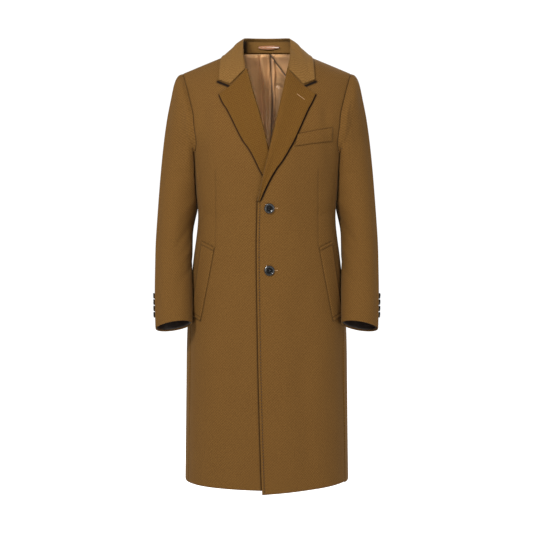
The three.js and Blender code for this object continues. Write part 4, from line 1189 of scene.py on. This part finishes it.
def welt_cloth(name, side, corners, counts, lift, painted_shade):
    x, z, inner, outer = patch(side, corners, *counts, lift)
    flat = np.stack([around(place_at(x, z), z) + 1.3, z + 2.1], axis=-1)
    if side == "right":
        outer, inner, flat = mirrored(outer), mirrored(inner), flat * (-1, 1)
    return shell(name, outer, inner, flat, wool, painted_shade=painted_shade, rounded=0.42)


def side_welt_cloth(side):
    band = 0.045

    def lift(down, share):
        ends = smooth(band - down, 0, 0.01) + smooth(down - 1 + band, 0, 0.01)
        opening = np.exp(-(((share - 1) / 0.09) ** 2))
        groove = np.exp(-(((down - band) / 0.006) ** 2)) + np.exp(-(((down - 1 + band) / 0.006) ** 2))
        return 0.9 * ends + 1.1 * opening - 0.8 * groove

    down = edged(150, (0, 0.01, 0.02, 0.04))[:, None]
    # Painted shade in the grooves along the welt's two long edges.
    painted_shade = 0.5 * (np.exp(-(((down - band) / 0.006) ** 2)) + np.exp(-(((down - 1 + band) / 0.006) ** 2)))
    return welt_cloth(f"side_welt_{side}_cloth", side, SIDE_WELT, (150, 24), lift, painted_shade)


def chest_welt_cloth():
    def level(down, share):
        return 0 * down * share

    return welt_cloth("chest_welt_cloth", "left", CHEST_WELT, (30, 60), level, None)


# Hanger loop

def hanger_loop_satin():
    t = np.linspace(0, 1, 40)[None]
    middle_z, half = (LOOP_FOOT + LOOP_TOP) / 2, (LOOP_TOP - LOOP_FOOT) / 2
    narrow = 0.42 + 0.58 * np.sin(np.pi * t) ** 0.5
    z = middle_z + half * narrow * np.linspace(-1, 1, 11)[:, None]
    x = LOOP_MIDDLE + LOOP_HALF * (2 * t - 1)
    at = np.abs(x) / 150
    seat, roll = neckline(at), collar_line(at, "roll")
    y = lerp(seat[..., 1], roll[..., 1], (z - seat[..., 2]) / (roll[..., 2] - seat[..., 2])) - 2.9
    bow = LOOP_BOW * np.sin(np.pi * t)
    puff = 0.9 * (1 - ((z - middle_z) / (half * narrow)) ** 2) * np.sin(np.pi * t)
    back, face = xyz(x, y - bow, z), xyz(x, y - bow - LOOP_THICK - puff, z)
    flat = np.stack(np.broadcast_arrays(x, z), axis=-1)
    # Painted shade at the loop's ends where it bows in to the neck, darkest at the right.
    shaded_ends = 0.75 * smooth(t, 0.55, 0.95) + 0.5 * (1 - smooth(t, 0, 0.18)) + 0 * z
    return shell("hanger_loop_satin", face, back, flat, loop_satin, painted_shade=shaded_ends)


# Buttons

def button_mesh(name, radius, thick, point, normal, holes):
    """A dished button with a rim, and four holes pressed through its middle."""
    rim = radius * 0.22
    profile = [
        (0, thick * 0.62), (radius * 0.3, thick * 0.63),
        (radius * 0.5, thick * 0.66), (radius - rim * 1.7, thick * 0.68),
        (radius - rim * 1.25, thick * 0.82), (radius - rim, thick * 0.95), (radius - rim * 0.6, thick),
        (radius - rim * 0.25, thick * 0.93), (radius, thick * 0.7), (radius, thick * 0.4),
        (radius * 0.93, thick * 0.12), (radius * 0.84, 0), (0, 0),
    ]
    fine = np.interp(np.linspace(0, len(profile) - 1, 49), range(len(profile)), [r for r, _ in profile])
    height = np.interp(np.linspace(0, len(profile) - 1, 49), range(len(profile)), [h for _, h in profile])
    turns = np.linspace(0, 2 * np.pi, 73)[:-1]
    x, z = fine[:, None] * np.cos(turns), fine[:, None] * np.sin(turns)
    y = np.broadcast_to(height[:, None], x.shape).copy()
    if holes:
        spread, hole = radius * 0.21, radius * 0.10
        upper = np.arange(49)[:, None] < 20
        for a in (-1, 1):
            for b in (-1, 1):
                off = np.hypot(x - a * spread, z - b * spread)
                y -= np.where(upper, (1 - smooth(off, hole * 0.7, hole * 1.3)) * thick * 0.45, 0)
    aside = unit(np.cross(normal, (0.0, 0.0, 1.0)))
    upward = np.cross(aside, normal)
    points = point + normal * LAID + x[..., None] * aside + z[..., None] * upward + y[..., None] * normal
    count = len(turns)
    faces = []
    for i in range(48):
        for j in range(count):
            k = (j + 1) % count
            faces.append((i * count + j, i * count + k, (i + 1) * count + k, (i + 1) * count + j))
    made = mesh_object(name, points.reshape(-1, 3) * MM, faces, horn)
    dish = made.data.attributes.new("dish", "FLOAT", "POINT")
    dish.data.foreach_set("value", np.repeat(1 - smooth(fine, radius * 0.55, radius * 0.7), count))
    merge_close(made)
    return made


def merge_close(made):
    cleaned = bmesh.new()
    cleaned.from_mesh(made.data)
    bmesh.ops.remove_doubles(cleaned, verts=cleaned.verts, dist=1e-6)
    bmesh.ops.dissolve_degenerate(cleaned, edges=cleaned.edges, dist=1e-7)
    bmesh.ops.recalc_face_normals(cleaned, faces=cleaned.faces)
    cleaned.to_mesh(made.data)
    cleaned.free()


def button_thread(name, radius, thick, point, normal):
    aside = unit(np.cross(normal, (0.0, 0.0, 1.0)))
    upward = np.cross(aside, normal)
    spread = radius * 0.21
    strands = []
    for b in (-1, 1):
        t = np.linspace(-1, 1, 9)
        path = [
            point + normal * (LAID + thick * (0.72 - 0.5 * s**4)) + aside * s * spread + upward * b * spread
            for s in t
        ]
        strands.append(tube(f"{name}_{b}", path, radius * 0.07, dark_thread))
    return joined(name, strands)


def stitches(name, places, length, radius, material):
    """Short stitches in one piece: each place is a point, the way it runs and the cloth's normal."""
    strands = []
    for number, (point, way, normal) in enumerate(places):
        t = np.linspace(-0.5, 0.5, 5)
        path = [point + way * length * s + normal * (0.35 - 1.9 * s**2) * radius * 2 for s in t]
        strands.append(tube(f"{name}_{number}", path, radius, material, sides=5))
    return joined(name, strands)


def along_front(side, path, out=0.0):
    """Points and normals on a front under a path of x and z."""
    x, z = np.array(path, dtype=float).T
    point = front_point(side, x, z, front_relief(side, x, z) + out)
    return point, body_normal(place_at(x, z), z)


# Every piece, with the node it stands for

fronts = {side: front_cloth(side) for side in ("left", "right")}
backs = {side: back_cloth(side) for side in ("left", "right")}
sleeves = {
    (piece, side): sleeve_cloth(side, piece)
    for piece in ("top", "under") for side in ("left", "right")
}
cuffs = {side: cuff_cloth(side) for side in ("left", "right")}
lining = lining_cloth()
fall = collar_fall_cloth()
stand = collar_stand_cloth()
lapels = {side: lapel_cloth(side) for side in ("left", "right")}
side_welts = {side: side_welt_cloth(side) for side in ("left", "right")}
chest_welt = chest_welt_cloth()
loop = hanger_loop_satin()


def dress(piece, node):
    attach(piece, "root")
    if node:
        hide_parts(node)


for side in ("left", "right"):
    dress(fronts[side], f"front_{side}")
    dress(backs[side], f"back_{side}")
    dress(cuffs[side], f"cuff_lining_{side}")
    dress(lapels[side], f"lapel_{side}")
    dress(side_welts[side], f"side_welt_{side}")
    for piece in ("top", "under"):
        dress(sleeves[piece, side], f"sleeve_{piece}_{side}")
dress(lining, "back_lining")
dress(fall, "collar_fall")
dress(stand, "collar_stand")
dress(chest_welt, "chest_welt")
dress(loop, "hanger_loop")

# Front buttons, their threads and their buttonholes
front_trim = {"left": [], "right": []}
for name, height in zip(("upper", "lower"), BUTTON_HEIGHTS):
    (point,), (normal,) = along_front("left", [(BUTTON_X, height)])
    button = button_mesh(f"button_{name}_horn", BUTTON_RADIUS, BUTTON_THICK, point, normal, True)
    dress(button, f"button_{name}")
    thread = button_thread(f"button_{name}_thread", BUTTON_RADIUS, BUTTON_THICK, point, normal)
    dress(thread, None)
    hole_x = np.linspace(BUTTON_X + 9, BUTTON_X + 21, 12)
    path, normals = along_front("left", [(x, height + 0.5) for x in hole_x])
    hole = tube(f"buttonhole_{name}", path + normals * 0.5, np.r_[[0.8] * 9, 1.1, 1.5, 1.1], pale_thread)
    dress(hole, None)
    front_trim["left"] += [button, thread, hole]

# Pick stitches along the left front edge, and the lapel's buttonhole
picks = []
for z in np.arange(-1112, -405, 7.2):
    (point,), (normal,) = along_front("left", [(float(inner_edge("left", z)) + PICKS_IN, z)])
    picks.append((point, np.array([0.0, 0.0, 1.0]), normal))
edge_picks = stitches("front_edge_stitches", picks, 3.6, 0.8, wool_thread)
dress(edge_picks, None)
front_trim["left"].append(edge_picks)
slot_start, slot_end = np.array([74.0, -128.0]), np.array([95.0, -143.5])
slot_path = np.array([lerp(slot_start, slot_end, t) for t in np.linspace(0, 1, 14)])
point, normal = along_front("left", slot_path, LAID + LAPEL_CLOTH + 0.6)
lapel_hole = tube("lapel_buttonhole", point + normal * 0.2, 0.8, pale_thread)
dress(lapel_hole, None)

# Cuff buttons
cuff_trim = {"left": [], "right": []}
for side, sign in (("left", 1), ("right", -1)):
    sections = np.linspace(8, CUFF, 800)
    run = sleeve_surface(CUFF_BUTTON_TURN, sections)
    for number, height in enumerate(CUFF_BUTTON_HEIGHTS, start=1):
        section = float(np.interp(-height, -run[:, 2], sections))
        point = sleeve_surface(CUFF_BUTTON_TURN, section)
        turn = CUFF_BUTTON_TURN
        across = sleeve_surface(turn + 1, section) - sleeve_surface(turn - 1, section)
        down = sleeve_surface(turn, section + 0.1) - sleeve_surface(turn, section - 0.1)
        normal = unit(np.cross(across, down))
        turn_side = np.array([sign, 1, 1])
        button = button_mesh(
            f"cuff_button_{side}_{number}_horn", CUFF_BUTTON_RADIUS, CUFF_BUTTON_THICK,
            point * turn_side, normal * turn_side, True,
        )
        dress(button, f"cuff_button_{side}_{number}")
        cuff_trim[side].append(button)

# Floor, light and camera

floor_material, floor_tree, floor_shader = principled("pale_floor")
floor_shader.inputs["Base Color"].default_value = (0.93, 0.93, 0.93, 1)
floor_shader.inputs["Roughness"].default_value = 0.9
floor_shader.inputs["Emission Color"].default_value = (1, 1, 1, 1)
seen = floor_tree.nodes.new("ShaderNodeLightPath").outputs["Is Camera Ray"]
floor_tree.links.new(math_node(floor_tree, "MULTIPLY", seen, 0.7), floor_shader.inputs["Emission Strength"])
FLOOR_Z, FLOOR_HALF = -1.32, 12
floor_corners = [(a * FLOOR_HALF, b * FLOOR_HALF, FLOOR_Z) for a, b in ((-1, -1), (1, -1), (1, 1), (-1, 1))]
floor = mesh_object("floor", floor_corners, [(0, 1, 2, 3)], floor_material)

world = bpy.data.worlds.new("studio")
bpy.context.scene.world = world
world.use_nodes = True
world.node_tree.nodes["Background"].inputs["Color"].default_value = (1, 1, 1, 1)
BACKDROP, AMBIENT = 1.05, 0.5  # what the camera sees, and the light that falls on the coat
in_view = world.node_tree.nodes.new("ShaderNodeLightPath").outputs["Is Camera Ray"]
lifted = math_node(world.node_tree, "MULTIPLY", in_view, BACKDROP - AMBIENT)
strength = math_node(world.node_tree, "ADD", lifted, AMBIENT)
world.node_tree.links.new(strength, world.node_tree.nodes["Background"].inputs["Strength"])


def hang_light(light, place, aim):
    holder = bpy.data.objects.new(light.name, light)
    holder.location = place
    holder.rotation_euler = (Vector(aim) - Vector(place)).to_track_quat("-Z", "Y").to_euler()
    bpy.context.scene.collection.objects.link(holder)


def soft_light(name, place, aim, size, power):
    light = bpy.data.lights.new(name, "AREA")
    light.shape = "DISK"
    light.size = size
    light.energy = power
    hang_light(light, place, aim)


def neck_light(name, place, aim, degrees, power):
    """A soft round light on the inside of the neck only."""
    light = bpy.data.lights.new(name, "SPOT")
    light.shadow_soft_size = 0.3
    light.spot_size = math.radians(degrees)
    light.spot_blend = 1
    light.energy = power
    hang_light(light, place, aim)


soft_light("key_light", (-1.5, -2.9, 1.5), (0, 0, -0.5), 0.7, 126)
soft_light("fill_light", (2.0, -3.0, -0.4), (0, 0, -0.7), 2.0, 30)
neck_light("neck_light", (0.25, -2.6, 0.85), (-0.01, 0.09, -0.07), 9, 150)
soft_light("back_light", (1.5, 2.6, 1.6), (0, 0, -0.5), 1.8, 60)

bpy.context.scene.view_settings.view_transform = "Standard"

CAMERA_DISTANCE, CAMERA_Z, CAMERA_X, LENS = 3.0, -0.558, -0.0008, 77.9
camera = bpy.data.cameras.new("camera")
camera.lens = LENS
camera.sensor_width = 36
camera_holder = bpy.data.objects.new("camera", camera)
camera_holder.location = (CAMERA_X, -CAMERA_DISTANCE, CAMERA_Z)
camera_holder.rotation_euler = (math.radians(90), 0, 0)
bpy.context.scene.collection.objects.link(camera_holder)
bpy.context.scene.camera = camera_holder
